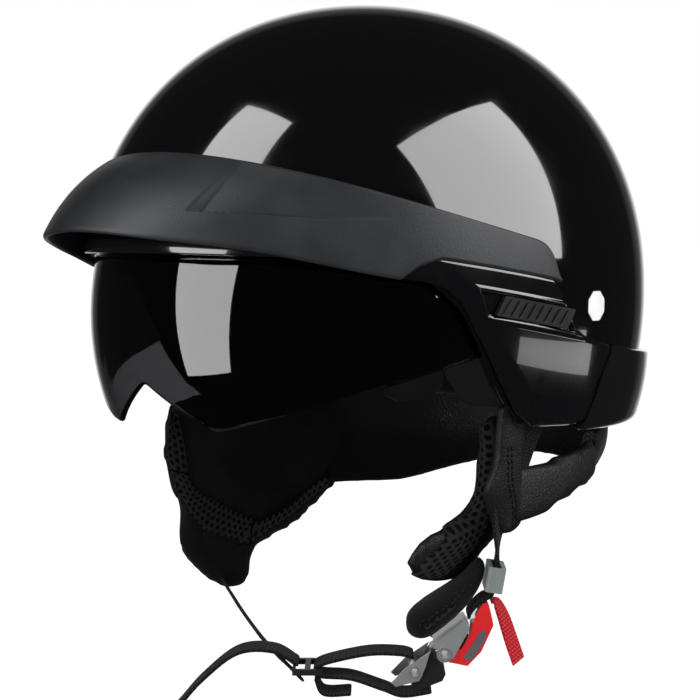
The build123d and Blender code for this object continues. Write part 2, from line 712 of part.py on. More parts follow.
def channel_point(along, over):
    """A place in the ratchet channel: along it from the lever pin, and over the pin."""
    slope = math.radians(channel_slope)
    return (along * math.cos(slope) - over * math.sin(slope), along * math.sin(slope) + over * math.cos(slope))


def channel_face(points):
    return make_face(Polyline(*[channel_point(*point) for point in points], close=True))


half_inside = webbing_width / 2 + webbing_play
rack_top = pin_radius + fit_gap + rack_thickness + tooth_depth
floor_low = rack_top + fit_gap
channel_end = buckle_length * floor_end_share


def make_buckle_frame():
    """Two cheeks with bosses, the floor between them and the bar that the strap hangs on."""
    floor = channel_face([(-plate, floor_low), (channel_end, floor_low), (channel_end, floor_low + plate),
                          (-plate, floor_low + plate)])
    frame = across_middle(floor, 2 * half_inside)
    cheek = buckle_outline(cheek_shares) + Circle(boss_radius)
    cheek -= Circle(pin_radius + running_gap)
    for side in (1, -1):
        near = half_inside if side > 0 else -half_inside - plate
        frame += across_strap(cheek, near, near + plate)
    bar = Pos(*channel_point(channel_end - plate, (floor_low + pin_radius) / 2)) * Circle(plate)
    return frame + across_middle(bar, 2 * half_inside)


def make_lever_pin():
    tube = Circle(pin_radius) - Circle(pin_bore)
    pin = across_middle(tube, 2 * (half_inside + plate))
    flange = Circle(boss_radius - fit_gap) - Circle(pin_bore)
    for side in (1, -1):
        near = half_inside + plate if side > 0 else -half_inside - plate - fit_gap
        pin += across_strap(flange, near, near + fit_gap)
    return pin


def make_lever():
    """The red lever: two lugs on the pin, a hollow grip and the pawl that holds the rack."""
    half = half_inside - fit_gap
    grip = across_middle(buckle_outline(lever_shares, plate / 2), 2 * half)
    lug = Circle(boss_radius)
    inner = rack_half_width + running_gap + pin_radius
    for side in (1, -1):
        near = inner if side > 0 else -half
        arm = lug + buckle_outline(lug_shares)
        grip += across_strap(arm, near, near + half - inner)
    middle = tooth_pitch * pawl_pitches
    pawl = channel_face([(middle - tooth_pitch / 2, -2 * boss_radius), (middle + 3 * tooth_pitch / 2, -pin_radius),
                         (middle + fit_gap, pin_radius + fit_gap * 2), (middle - fit_gap, pin_radius + fit_gap * 2)])
    grip += across_middle(pawl, 2 * rack_half_width - 2 * fit_gap)
    return grip - across_middle(Circle(pin_radius + running_gap), 4 * half_inside)


def make_inlay():
    half = half_inside - fit_gap
    oval = buckle_outline(inlay_shares, plate)
    return across_strap(oval, half, half + fit_gap), across_strap(oval, -half - fit_gap, -half)


def make_ribbon():
    line = Spline(*strap_points(ribbon_shares))
    return across_middle(trace(line, webbing_thickness), ribbon_width)


def make_rack():
    """The toothed strip of the tongue."""
    low = pin_radius + fit_gap
    root = low + tooth_depth
    start = -boss_radius - fit_gap * 2
    points = [(start, low), (0, low)]
    for tooth in range(tooth_count):
        base = tooth * tooth_pitch
        tip, foot, slope = [base + tooth_pitch * share for share in tooth_shares]
        points += [(tip, low), (foot, root), (slope, root), (base + tooth_pitch, low)]
    end = tooth_count * tooth_pitch
    points += [(end + tooth_pitch / 4, low), (end + tooth_pitch / 2, root), (end + tooth_pitch / 2, rack_top),
               (start, rack_top)]
    return across_middle(channel_face(points), 2 * rack_half_width)


def make_holder():
    body = across_middle(buckle_outline(holder_shares), 2 * (half_inside - fit_gap))
    hole = Pos(*strap_points([clevis_pin_shares])[0]) * Circle(pin_radius + running_gap)
    return body - across_middle(hole, 4 * half_inside) - make_rack()


def make_clevis():
    center = Pos(*strap_points([clevis_pin_shares])[0])
    face = buckle_outline(clevis_shares) + center * Circle(boss_radius)
    face -= center * Circle(pin_radius + running_gap)
    cheeks = [across_strap(face, near, near + plate) for near in (half_inside, -half_inside - plate)]
    return cheeks


def make_clevis_pin():
    center = Pos(*strap_points([clevis_pin_shares])[0])
    tube = center * (Circle(pin_radius) - Circle(pin_bore))
    return across_middle(tube, 2 * (half_inside + plate + fit_gap))


def make_spring():
    """Two torsion springs on the lever pin, one beside each lug."""
    radius = boss_radius - spring_wire
    pitch = spring_wire + fit_gap / 2
    near = rack_half_width + fit_gap
    coils = []
    for start in (near, -near - spring_turns * pitch):
        helix = Helix(pitch, pitch * spring_turns, radius)
        wire = sweep(Plane(helix @ 0, z_dir=helix % 0) * Circle(spring_wire / 2), helix)
        coils.append(buckle_plane() * Pos(0, 0, start) * wire)
    return coils


def band_face(shares, thickness=webbing_thickness):
    return trace(Spline(*strap_points(shares)), thickness)


def make_strap_loop():
    """The webbing loop from the tongue to the adjuster."""
    return across_middle(band_face(loop_shares), webbing_width)


def make_tail():
    tail = across_middle(band_face(tail_shares), webbing_width)
    return tail, across_middle(band_face(under_tail_shares), webbing_width)


def make_adjuster():
    """A slide with three bars: a plate with two slots for the webbing."""
    face = Rectangle(adjuster_length, webbing_width + 4 * webbing_thickness)
    slot = Rectangle(adjuster_slot, webbing_width + 2 * fit_gap)
    for side in (1, -1):
        face -= Pos(side * adjuster_length / 4, 0) * slot
    outer = [vertex for vertex in face.vertices() if abs(vertex.X) > adjuster_length / 2 - fit_gap]
    face = fillet(outer, webbing_thickness / 2)
    (across, up), = strap_points([adjuster_shares])
    flat = buckle_plane() * Pos(across, up, 0) * Rot(90, 0, 0)
    return extrude(flat * Pos(0, 0, -adjuster_height / 4) * face, adjuster_height / 2)


def plane_to_space(across, up, out=0.0):
    return (buckle_plane() * Pos(across, up, out)).position


def make_keeper():
    """The grey sleeve that holds the strap's two layers together above the buckle."""
    inner_width, inner_depth = webbing_width + fit_gap * 2, webbing_thickness * 2 + fit_gap * 2
    outer = Rectangle(inner_width + 2 * keeper_wall, inner_depth + 2 * keeper_wall)
    face = fillet(outer.vertices(), keeper_wall) - Rectangle(inner_width, inner_depth)
    return extrude(keeper_frame() * Pos(0, 0, -keeper_height / 2) * face, keeper_height)


def keeper_frame():
    """Across the strap is the plane's x, through it is y, and along it, upwards, is z."""
    plane = buckle_plane()
    (across, up), = strap_points([keeper_shares])
    return Plane(plane.origin + plane.x_dir * across + plane.y_dir * up, x_dir=plane.z_dir, z_dir=keeper_lean())


def keeper_lean():
    plane = buckle_plane()
    turn = math.radians(keeper_slope)
    return plane.x_dir * math.cos(turn) + plane.y_dir * math.sin(turn)


def ribbon_section(place, across, along):
    """The webbing's section at a place, square to the way it runs."""
    across = (across - along * across.dot(along)).normalized()
    return Plane(place, x_dir=across, z_dir=along) * Rectangle(webbing_width, webbing_thickness)


def path_ways(places, last_way=None):
    """The way a path runs at each of its places: from the place before to the place after."""
    ways = []
    for index in range(len(places)):
        before, after = places[max(index - 1, 0)], places[min(index + 1, len(places) - 1)]
        ways.append((after - before).normalized())
    if last_way:
        ways[-1] = last_way
    return ways


def strap_places(shares):
    return [Vector(*[share * size for share, size in zip(row[:3], length_size())]) for row in shares]


def make_left_strap():
    """From the anchor inside the shell down through the keeper to the buckle's bar."""
    frame = keeper_frame()
    near, far = keeper_height / 2 + fit_gap, keeper_height / 2 + fit_gap * 5
    grip = [frame.origin + frame.z_dir * lift for lift in (far, near, -near, -far)]
    bend = [plane_to_space(*place) for place in strap_points(hanger_shares)]
    places = strap_places(left_strap_shares) + grip + bend
    turns = [row[3] for row in left_strap_shares] + [view_turn] * (len(grip) + len(bend))
    sections = []
    for place, turn, way in zip(places, turns, path_ways(places)):
        turn = math.radians(turn)
        sections.append(ribbon_section(place, Vector(math.sin(turn), -math.cos(turn), 0), way))
    return loft(sections)


def make_right_strap():
    """From the tip of the right flap, lying flat, round to the slide."""
    places = strap_places(right_strap_shares)
    ways = path_ways(places, buckle_plane().x_dir)
    return loft([ribbon_section(place, way.cross(Vector(0, 0, 1)), way) for place, way in zip(places, ways)])


def make_chin_pad():
    """The padded sleeve under the chin, beside the buckle."""
    return across_middle(buckle_outline(chin_pad_shares, chin_pad_corner), chin_pad_width)


def make_anchors():
    """On each side a steel plate inside the shell, and the countersunk rivet through the shell."""
    back, up = side_place(anchor_shares)
    low = shell_face(back + anchor_length / 2, up - anchor_height / 2, shell_wall)
    plate_face = low - fit_gap
    plate_body = Pos(plate_face, back, up) * Box(anchor_plate, anchor_length, anchor_height,
                                                 align=(Align.MAX, Align.CENTER, Align.CENTER))
    tip = shell_face(back + rivet_radius, up - rivet_radius, fit_gap)
    shank = rod(rivet_radius, (plate_face - anchor_plate, back, up), (tip, back, up))
    return both_sides(plate_body + shank)


def make_cover_screws():
    """Two screws on each side hold the cover from inside the shell."""
    screws = []
    for shares in screw_shares:
        back, up = side_place(shares)
        seat = shell_face(back, up, shell_wall) - fit_gap * 3
        tip = shell_face(back, up, 0) + skirt_standoff / 2
        screw = rod(screw_head, (seat - screw_head_height, back, up), (seat, back, up))
        screw += rod(screw_radius, (seat, back, up), (tip - fit_gap, back, up))
        screws += both_sides(screw)
    return screws


def write_parts():
    left_cover, right_cover = both_sides(make_cover())
    left_slider, right_slider = both_sides(make_slider())
    left_bracket, right_bracket = both_sides(make_bracket())
    left_side_pad, right_side_pad = both_sides(make_side_pad())
    parts = {
        "outer_shell": make_shell(), "edge_trim": make_trim(), "eps_liner": make_liner(),
        "side_cover_left": left_cover, "side_cover_right": right_cover,
        "lock_slider_left": left_slider, "lock_slider_right": right_slider,
        "rear_band": make_band(), "size_sticker": make_sticker(), "peak": make_peak(),
        "sun_lens": make_lens(), "lens_tab": make_tab(),
        "lens_bracket_left": left_bracket, "lens_bracket_right": right_bracket,
        "lens_pivot_screws": Compound(children=list(both_sides(make_pivot_screw()))),
        "crown_pad": make_crown_pad(), "brow_pad": make_brow_pad(), "nape_pad": make_nape_pad(),
        "side_pad_left": left_side_pad, "side_pad_right": right_side_pad,
        "ear_flap_left": make_flap(left_flap_shares),
        "ear_flap_right": mirror(make_flap(right_flap_shares), Plane.YZ),
        "nape_curtain": make_curtain(),
        "strap_anchors": Compound(children=list(make_anchors())),
        "cover_screws": Compound(children=make_cover_screws()),
        "strap_left": make_left_strap(), "strap_right": make_right_strap(),
        "strap_keeper": make_keeper(), "chin_pad": make_chin_pad(),
        "buckle_frame": make_buckle_frame(), "lever_pin": make_lever_pin(), "buckle_lever": make_lever(),
        "lever_inlays": Compound(children=list(make_inlay())), "pull_ribbon": make_ribbon(),
        "lever_springs": Compound(children=make_spring()),
        "tongue_rack": make_rack(), "tongue_holder": make_holder(),
        "tongue_clevis": Compound(children=make_clevis()), "tongue_pin": make_clevis_pin(),
        "strap_loop": make_strap_loop(), "strap_tail": Compound(children=list(make_tail())),
        "strap_adjuster": make_adjuster(),
    }
    os.makedirs("parts", exist_ok=True)
    for name, part in parts.items():
        export_step(part, f"parts/{name}.step")


if __name__ == "__main__":
    write_parts()
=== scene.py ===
import json
import math

import bmesh
import bpy
import numpy as np
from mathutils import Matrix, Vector


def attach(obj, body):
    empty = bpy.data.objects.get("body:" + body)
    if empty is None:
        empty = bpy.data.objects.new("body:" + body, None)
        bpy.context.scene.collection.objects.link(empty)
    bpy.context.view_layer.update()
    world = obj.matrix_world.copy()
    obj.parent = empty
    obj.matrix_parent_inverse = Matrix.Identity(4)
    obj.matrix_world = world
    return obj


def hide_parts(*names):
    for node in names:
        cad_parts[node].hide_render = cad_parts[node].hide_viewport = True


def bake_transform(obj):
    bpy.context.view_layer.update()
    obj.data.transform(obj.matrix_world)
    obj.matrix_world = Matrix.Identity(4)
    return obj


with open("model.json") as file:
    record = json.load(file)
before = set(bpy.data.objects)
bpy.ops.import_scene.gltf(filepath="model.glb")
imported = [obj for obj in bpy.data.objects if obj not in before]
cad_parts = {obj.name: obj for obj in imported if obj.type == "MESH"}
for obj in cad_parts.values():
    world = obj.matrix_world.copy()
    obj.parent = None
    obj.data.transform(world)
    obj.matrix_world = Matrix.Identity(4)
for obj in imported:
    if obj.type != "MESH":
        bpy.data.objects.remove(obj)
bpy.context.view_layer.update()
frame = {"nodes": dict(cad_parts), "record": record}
scene = bpy.context.scene
print("frame loaded:", len(frame["nodes"]), "nodes")

# Lengths below are in millimetres; every mesh is written in metres.
# The helmet looks along -Y, its left side is +X, and the origin is the middle of the dome.
mm = 0.001
tiny = 1e-9  # keeps a division away from zero
dome = {"halfWidth": 118.0, "halfLength": 141.0, "halfHeight": 132.0, "power": 2.12, "wall": 3.0}
# points nearer than weld become one, edges under drop go (both in metres), steeper edges than sharp stay sharp
welding = {"weld": 2e-6, "drop": 1e-7, "sharp": 40.0}
search = {"steps": 40, "height": 75.0}  # halvings, and the heights between which a line is looked for


# Curves and grids

def unit(vectors):
    # each vector divided by its own length
    return vectors / np.maximum(np.linalg.norm(vectors, axis=-1, keepdims=True), tiny)


def clamp(values):
    # values kept between 0 and 1
    return np.clip(values, 0, 1)


def smoothLine(points, window, samples=600):
    # the line z(y) through the points as a table, each height averaged over a window of y, twice
    points = np.array(points, float)
    order = np.argsort(points[:, 0])
    ys = np.linspace(points[order[0], 0], points[order[-1], 0], samples)
    zs = np.interp(ys, points[order, 0], points[order, 1])
    width = max(1, int(window / (ys[1] - ys[0])))
    pad = np.ones(width)
    for _ in range(2):
        padded = np.concatenate([zs[0] * pad, zs, zs[-1] * pad])
        zs = np.convolve(padded, np.ones(width) / width, "same")[width:-width]
    return ys, zs


def spline(points, samples):
    # Catmull-Rom curve through rows of numbers, evenly spaced in the parameter
    points = np.array(points, float)
    ends = np.concatenate([[2 * points[0] - points[1]], points, [2 * points[-1] - points[-2]]])
    t = np.linspace(0, len(points) - 1, samples)
    i = np.minimum(t.astype(int), len(points) - 2)
    f = (t - i)[:, None]
    p0, p1, p2, p3 = (ends[i + k] for k in range(4))
    return 0.5 * (2 * p1 + (p2 - p0) * f + (2 * p0 - 5 * p1 + 4 * p2 - p3) * f ** 2
                  + (3 * p1 - p0 - 3 * p2 + p3) * f ** 3)


def evenly(points, samples):
    # the same path with its points an even distance apart; columns after the third are carried along
    points = np.asarray(points, float)
    steps = np.concatenate([[0], np.cumsum(np.linalg.norm(np.diff(points[:, :3], axis=0), axis=1))])
    at = np.linspace(0, steps[-1], samples)
    return np.stack([np.interp(at, steps, points[:, k]) for k in range(points.shape[1])], -1)


def halve(span, isOver):
    # where isOver turns true between -span and span, found by halving the gap
    low, high = -span, span
    for _ in range(search["steps"]):
        middle = (low + high) / 2
        over = isOver(middle)
        low, high = np.where(over, low, middle), np.where(over, middle, high)
    return (low + high) / 2


def gridFaces(rows, columns, start):
    # four-sided faces of a grid of points
    i, j = np.meshgrid(np.arange(rows - 1), np.arange(columns - 1), indexing="ij")
    a = start + i * columns + j
    return np.stack([a, a + columns, a + columns + 1, a + 1], -1).reshape(-1, 4)


def gridUv(points):
    # u is the mean distance along the columns and v along the rows, in metres
    down = np.linalg.norm(np.diff(points, axis=0), axis=-1).mean(1)
    over = np.linalg.norm(np.diff(points, axis=1), axis=-1).mean(0)
    v = np.concatenate([[0], np.cumsum(down)]) * mm
    u = np.concatenate([[0], np.cumsum(over)]) * mm
    return np.stack(np.meshgrid(u, v), -1)


def shadeSmooth(mesh):
    mesh.polygons.foreach_set("use_smooth", np.ones(len(mesh.polygons), bool))


def addPiece(name, grids, slot, body, replaced=(), caps=False):
    # one object from grids of points: doubled points are welded, open ends capped, normals turned outwards
    points = np.concatenate([g.reshape(-1, 3) for g in grids]) * mm
    faces, start = [], 0
    for g in grids:
        faces.append(gridFaces(*g.shape[:2], start))
        start += g.shape[0] * g.shape[1]
    mesh = bpy.data.meshes.new(name)
    mesh.from_pydata(points.tolist(), [], np.concatenate(faces).tolist())
    index = np.zeros(len(mesh.loops), np.int32)
    mesh.loops.foreach_get("vertex_index", index)
    uv = np.concatenate([gridUv(g).reshape(-1, 2) for g in grids])
    mesh.uv_layers.new(name="surface").data.foreach_set("uv", uv[index].ravel())
    work = bmesh.new()
    work.from_mesh(mesh)
    if caps:
        work.verts.ensure_lookup_table()
        rows, columns = grids[0].shape[:2]
        for row in (0, rows - 1):
            work.faces.new([work.verts[row * columns + j] for j in range(columns - 1)])
    bmesh.ops.remove_doubles(work, verts=work.verts, dist=welding["weld"])
    bmesh.ops.dissolve_degenerate(work, edges=work.edges, dist=welding["drop"])
    bmesh.ops.recalc_face_normals(work, faces=work.faces)
    work.to_mesh(mesh)
    work.free()
    shadeSmooth(mesh)
    mesh.set_sharp_from_angle(angle=math.radians(welding["sharp"]))
    piece = bpy.data.objects.new(name, mesh)
    scene.collection.objects.link(piece)
    mesh.materials.append(materials[slot])
    if body:
        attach(piece, body)
    if replaced:
        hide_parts(*replaced)
    return piece


def shellLoop(outer, inner, rounding=5):
    # both faces of a wall as one closed loop of points in each row, with half circles at its two edges
    def edge(first, second, before):
        middle, arm = (first + second) / 2, (first - second) / 2
        way = unit(middle - before) * np.linalg.norm(arm, axis=-1, keepdims=True)
        turns = np.linspace(0, math.pi, rounding + 2)[1:-1]
        return np.stack([middle + arm * math.cos(t) + way * math.sin(t) for t in turns], 1)

    far = edge(outer[:, -1], inner[:, -1], (outer[:, -2] + inner[:, -2]) / 2)
    near = edge(inner[:, 0], outer[:, 0], (outer[:, 1] + inner[:, 1]) / 2)
    return np.concatenate([outer, far, inner[:, ::-1], near, outer[:, :1]], 1)


def mirrored(grid):
    # the same grid on the other side of the helmet
    return grid * np.array([-1.0, 1.0, 1.0])


def superRing(z, halfHeight):
    # share of the full width at height z: (1 - |z / half height| ^ power) ^ (1 / power)
    return np.maximum(1 - np.abs(z / halfHeight) ** dome["power"], 0) ** (1 / dome["power"])


def domePoint(azimuth, z, stand=0.0, tall=None):
    # a point on the dome: an ellipse times the ring's share; azimuth 0 is the front, 90 degrees the left
    ring = superRing(z, dome["halfHeight"] + stand if tall is None else tall)
    x = (dome["halfWidth"] + stand) * ring * np.sin(azimuth)
    y = -(dome["halfLength"] + stand) * ring * np.cos(azimuth)
    return np.stack([x, y, z + 0 * x], -1)


def skirtPoint(azimuth, z, extra=0.0):
    # the outer face of covers and band: a taller dome, so that it is nearly plumb below the widest level
    return domePoint(azimuth, z, cover["stand"] + extra, cover["tall"] + extra)


def heightOnLine(azimuth, line, pointAt):
    # the height at which a surface crosses the line z(y) of the side view, at each azimuth
    def isOver(z):
        return z > np.interp(pointAt(azimuth, z)[..., 1], *line)

    return halve(np.full_like(azimuth, search["height"]), isOver)


def sideX(y, z, stand, tall):
    # X of a dome-shaped face at a place of the side view: what the ellipse leaves beside y
    ring = superRing(z, tall)
    far = np.clip(y / ((dome["halfLength"] + stand) * np.maximum(ring, tiny)), -1, 1)
    return (dome["halfWidth"] + stand) * ring * np.sqrt(1 - far ** 2)


# Materials

materials = {}
cloudEdges = (0.3, 0.7)  # a noise cloud's values between which its ramp runs
newStop = 0.5  # where a stop of a ramp starts before it is placed


def startMaterial(slot, color, roughness, metallic=0.0, sockets=None):
    # a shader whose plain values are set on its own sockets
    material = bpy.data.materials.new(slot)
    material.use_nodes = True
    shader = material.node_tree.nodes["Principled BSDF"]
    shader.inputs["Base Color"].default_value = (*color, 1)
    shader.inputs["Roughness"].default_value = roughness
    shader.inputs["Metallic"].default_value = metallic
    for name, value in (sockets or {}).items():
        shader.inputs[name].default_value = value
    materials[slot] = material
    return material.node_tree, shader


def tinted(color, factor):
    # a colour times a factor, with no channel over 1
    return tuple(min(c * factor, 1) for c in color)


def coordinates(tree, output="Object"):
    return tree.nodes.new("ShaderNodeTexCoord").outputs[output]


def addNoise(tree, place, scale, detail, roughness=0.5, stretch=None):
    # a noise cloud, stretched along an axis if asked
    node = tree.nodes.new("ShaderNodeTexNoise")
    node.inputs["Scale"].default_value = scale
    node.inputs["Detail"].default_value = detail
    node.inputs["Roughness"].default_value = roughness
    if stretch:
        mapping = tree.nodes.new("ShaderNodeMapping")
        mapping.inputs["Scale"].default_value = stretch
        tree.links.new(place, mapping.inputs["Vector"])
        place = mapping.outputs["Vector"]
    tree.links.new(place, node.inputs["Vector"])
    return node.outputs["Fac"]


def addWave(tree, place, direction, scale):
    node = tree.nodes.new("ShaderNodeTexWave")
    node.bands_direction = direction
    node.inputs["Scale"].default_value = scale
    tree.links.new(place, node.inputs["Vector"])
    return node.outputs["Fac"]


def addRamp(tree, value, stops):
    # stops are pairs of a value and a grey or a colour
    node = tree.nodes.new("ShaderNodeValToRGB")
    ramp = node.color_ramp
    while len(ramp.elements) < len(stops):
        ramp.elements.new(newStop)
    for element, (place, color) in zip(ramp.elements, stops):
        element.position = place
        element.color = (*color, 1) if hasattr(color, "__len__") else (color, color, color, 1)
    tree.links.new(value, node.inputs["Fac"])
    return node.outputs["Color"]


def addBump(tree, shader, height, strength, distance, after=None):
    # a bump on the shader, on top of another one if asked
    node = tree.nodes.new("ShaderNodeBump")
    node.inputs["Strength"].default_value = strength
    node.inputs["Distance"].default_value = distance
    tree.links.new(height, node.inputs["Height"])
    if after:
        tree.links.new(after, node.inputs["Normal"])
    tree.links.new(node.outputs["Normal"], shader.inputs["Normal"])
    return node.outputs["Normal"]


def addMath(tree, operation, a, b=None):
    # a and b are sockets or numbers
    node = tree.nodes.new("ShaderNodeMath")
    node.operation = operation
    for value, socket in zip((a, b), node.inputs):
        if isinstance(value, (int, float)):
            socket.default_value = value
        elif value is not None:
            tree.links.new(value, socket)
    return node.outputs["Value"]


def addColor(tree, shader, value, stops):
    tree.links.new(addRamp(tree, value, stops), shader.inputs["Base Color"])


def addRoughness(tree, shader, value, low, high):
    stops = [(cloudEdges[0], low), (cloudEdges[1], high)]
    tree.links.new(addRamp(tree, value, stops), shader.inputs["Roughness"])


gloss = {
    "coat": {"Coat Weight": 1.0, "Coat Roughness": 0.015, "Coat IOR": 1.75, "Specular IOR Level": 0.6},
    "cloud": (60, 4), "uneven": 0.08, "wave": (220, 2), "waveDepth": 0.0004,
    # colour, roughness, strength of the wave
    "slots": {
        "shell_black": ((0.0022, 0.0022, 0.0026), 0.04, 0.0),
        "cover_black": ((0.004, 0.004, 0.0048), 0.09, 0.0),
        "band_black": ((0.006, 0.006, 0.0068), 0.12, 0.0),
        "trim_black": ((0.006, 0.006, 0.006), 0.10, 0.0),
        "slider_black": ((0.012, 0.012, 0.013), 0.28, 0.05),
        "lever_red": ((0.72, 0.012, 0.016), 0.2, 0.04),
    },
}


def glossPlastic(slot, color, roughness, wave):
    # lacquered or polished plastic: a clear coat, a cloud in the roughness and a faint wave in the surface
    tree, shader = startMaterial(slot, color, roughness, sockets=gloss["coat"])
    place = coordinates(tree)
    addRoughness(tree, shader, addNoise(tree, place, *gloss["cloud"]), roughness, roughness + gloss["uneven"])
    if wave:
        addBump(tree, shader, addNoise(tree, place, *gloss["wave"]), wave, gloss["waveDepth"])


matte = {
    "cloud": (35, 5), "tints": (0.82, 1.25), "uneven": (-0.05, 0.07), "grain": (4, 0.6),
    # colour, roughness, scale of the grain, strength and depth of its bump
    "slots": {
        "peak_grey": ((0.021, 0.0225, 0.026), 0.38, 1300, 0.35, 0.0003),
        "liner_foam": ((0.012, 0.012, 0.013), 0.8, 320, 0.5, 0.0006),
        "tab_black": ((0.004, 0.004, 0.0045), 0.3, 900, 0.25, 0.0003),
        "bracket_black": ((0.015, 0.015, 0.015), 0.5, 900, 0.25, 0.0003),
        "keeper_grey": ((0.20, 0.22, 0.225), 0.42, 900, 0.25, 0.0003),
        "inlay_grey": ((0.10, 0.10, 0.11), 0.45, 900, 0.25, 0.0003),
        "holder_black": ((0.012, 0.012, 0.013), 0.42, 900, 0.25, 0.0003),
        "adjuster_black": ((0.012, 0.012, 0.013), 0.4, 900, 0.25, 0.0003),
        "sticker_white": ((0.80, 0.80, 0.79), 0.45, 1800, 0.08, 0.0003),
    },
}


def mattePlastic(slot, color, roughness, grain, strength, depth):
    # moulded plastic with a fine spark-eroded grain and slightly uneven colour
    tree, shader = startMaterial(slot, color, roughness)
    place = coordinates(tree)
    cloud = addNoise(tree, place, *matte["cloud"])
    dark, pale = (tinted(color, factor) for factor in matte["tints"])
    addColor(tree, shader, cloud, [(cloudEdges[0], dark), (cloudEdges[1], pale)])
    addRoughness(tree, shader, cloud, *(roughness + step for step in matte["uneven"]))
    addBump(tree, shader, addNoise(tree, place, grain, *matte["grain"]), strength, depth)


steel = {
    "metallic": 0.8, "scratches": (6, 4, 0.6, (400, 400, 40)), "uneven": (-0.08, 0.12),
    "grain": (1600, 3), "bump": (0.12, 0.0001),
    # colour, roughness
    "slots": {
        "screw_steel": ((0.55, 0.55, 0.56), 0.35),
        "anchor_steel": ((0.50, 0.50, 0.51), 0.4),
        "buckle_steel": ((0.80, 0.81, 0.83), 0.36),
        "rivet_steel": ((0.70, 0.70, 0.71), 0.25),
        "rack_steel": ((0.56, 0.56, 0.58), 0.36),
        "clevis_steel": ((0.72, 0.73, 0.75), 0.36),
        "spring_steel": ((0.50, 0.50, 0.50), 0.3),
    },
}


def brushedSteel(slot, color, roughness):
    # brushed or blasted steel: fine scratches in the roughness and a fine grain
    tree, shader = startMaterial(slot, color, roughness, steel["metallic"])
    place = coordinates(tree)
    scratches = addNoise(tree, place, *steel["scratches"])
    addRoughness(tree, shader, scratches, *(roughness + step for step in steel["uneven"]))
    addBump(tree, shader, addNoise(tree, place, *steel["grain"]), *steel["bump"])


knit = {
    "roughness": 0.93, "sheenRoughness": 0.5, "specular": 0.15, "cloud": (45, 5, 0.6), "edges": (0.3, 0.72),
    "tints": (0.6, 1.7), "fibres": (1400, 3, 0.7), "bump": (0.5, 0.0005),
    # colour, sheen
    "slots": {"lining_black": ((0.0040, 0.0040, 0.0043), 0.06), "pad_black": ((0.0042, 0.0042, 0.0046), 0.08)},
}


def knitFabric(slot, color, sheen):
    # brushed knit: uneven colour, short fibres as a bump, and sheen at its edges
    sockets = {"Sheen Weight": sheen, "Sheen Roughness": knit["sheenRoughness"],
               "Specular IOR Level": knit["specular"]}
    tree, shader = startMaterial(slot, color, knit["roughness"], sockets=sockets)
    place = coordinates(tree)
    cloud = addNoise(tree, place, *knit["cloud"])
    dark, pale = (tinted(color, factor) for factor in knit["tints"])
    addColor(tree, shader, cloud, [(knit["edges"][0], dark), (knit["edges"][1], pale)])
    addBump(tree, shader, addNoise(tree, place, *knit["fibres"]), *knit["bump"])


spacer = {
    "slot": "mesh_black", "color": (0.0075, 0.0075, 0.008), "roughness": 0.85, "pitch": 3.9, "paleTint": 2.2,
    "sockets": {"Sheen Weight": 0.04, "Specular IOR Level": 0.15},
    # the holes' colour below is painted shade: near black, as the shadow inside an opening
    "paintedHoleShade": (0.0006, 0.0006, 0.0006), "holeEdge": (0.34, 0.52), "holeWall": (0.25, 0.60),
    "holeBump": (1.0, 0.0012),
    "fibres": (2200, 2), "fibreBump": (0.3, 0.0003), "waveTurns": (0, 60, 120), "waveLeast": 1.5, "waveSpan": 4.5,
}


def holePattern(tree, place):
    # staggered round holes: the sum of three cosine waves 60 degrees apart peaks on a hexagonal lattice
    total = None
    for turn in spacer["waveTurns"]:
        angle = math.radians(turn)
        dot = tree.nodes.new("ShaderNodeVectorMath")
        dot.operation = "DOT_PRODUCT"
        size = 2 * math.pi / (spacer["pitch"] * mm * math.cos(math.pi / 6))
        dot.inputs[1].default_value = (math.cos(angle) * size, math.sin(angle) * size, 0)
        tree.links.new(place, dot.inputs[0])
        wave = addMath(tree, "COSINE", dot.outputs["Value"])
        total = wave if total is None else addMath(tree, "ADD", total, wave)
    return addMath(tree, "MULTIPLY", addMath(tree, "ADD", total, spacer["waveLeast"]), 1 / spacer["waveSpan"])


def spacerMesh():
    # warp-knit spacer mesh on the piece's own UV: holes coloured near black as painted shade in the openings, with a
    # raised, paler web between them
    color = spacer["color"]
    tree, shader = startMaterial(spacer["slot"], color, spacer["roughness"], sockets=spacer["sockets"])
    place = coordinates(tree, "UV")
    holes = holePattern(tree, place)
    web, dark = spacer["holeEdge"]
    # the holes are painted with shade, near black, where the openings would lie in shadow
    addColor(tree, shader, holes, [(web, tinted(color, spacer["paleTint"])), (dark, spacer["paintedHoleShade"])])
    high, low = spacer["holeWall"]
    walls = addBump(tree, shader, addRamp(tree, holes, [(high, 1.0), (low, 0.0)]), *spacer["holeBump"])
    addBump(tree, shader, addNoise(tree, place, *spacer["fibres"]), *spacer["fibreBump"], walls)


vinyl = {
    "slot": "curtain_black", "color": (0.011, 0.011, 0.012), "roughness": 0.42,
    "sockets": {"Specular IOR Level": 0.45},
    "cells": 620, "cellEdge": 0.18, "cloud": (80, 4), "uneven": (0.36, 0.55), "bump": (0.35, 0.0004),
}


def vinylHide():
    # grained vinyl: pebbled cells under a soft gloss
    tree, shader = startMaterial(vinyl["slot"], vinyl["color"], vinyl["roughness"], sockets=vinyl["sockets"])
    place = coordinates(tree)
    cells = tree.nodes.new("ShaderNodeTexVoronoi")
    cells.feature = "DISTANCE_TO_EDGE"
    cells.inputs["Scale"].default_value = vinyl["cells"]
    tree.links.new(place, cells.inputs["Vector"])
    grain = addRamp(tree, cells.outputs["Distance"], [(0.0, 0.0), (vinyl["cellEdge"], 1.0)])
    addRoughness(tree, shader, addNoise(tree, place, *vinyl["cloud"]), *vinyl["uneven"])
    addBump(tree, shader, grain, *vinyl["bump"])


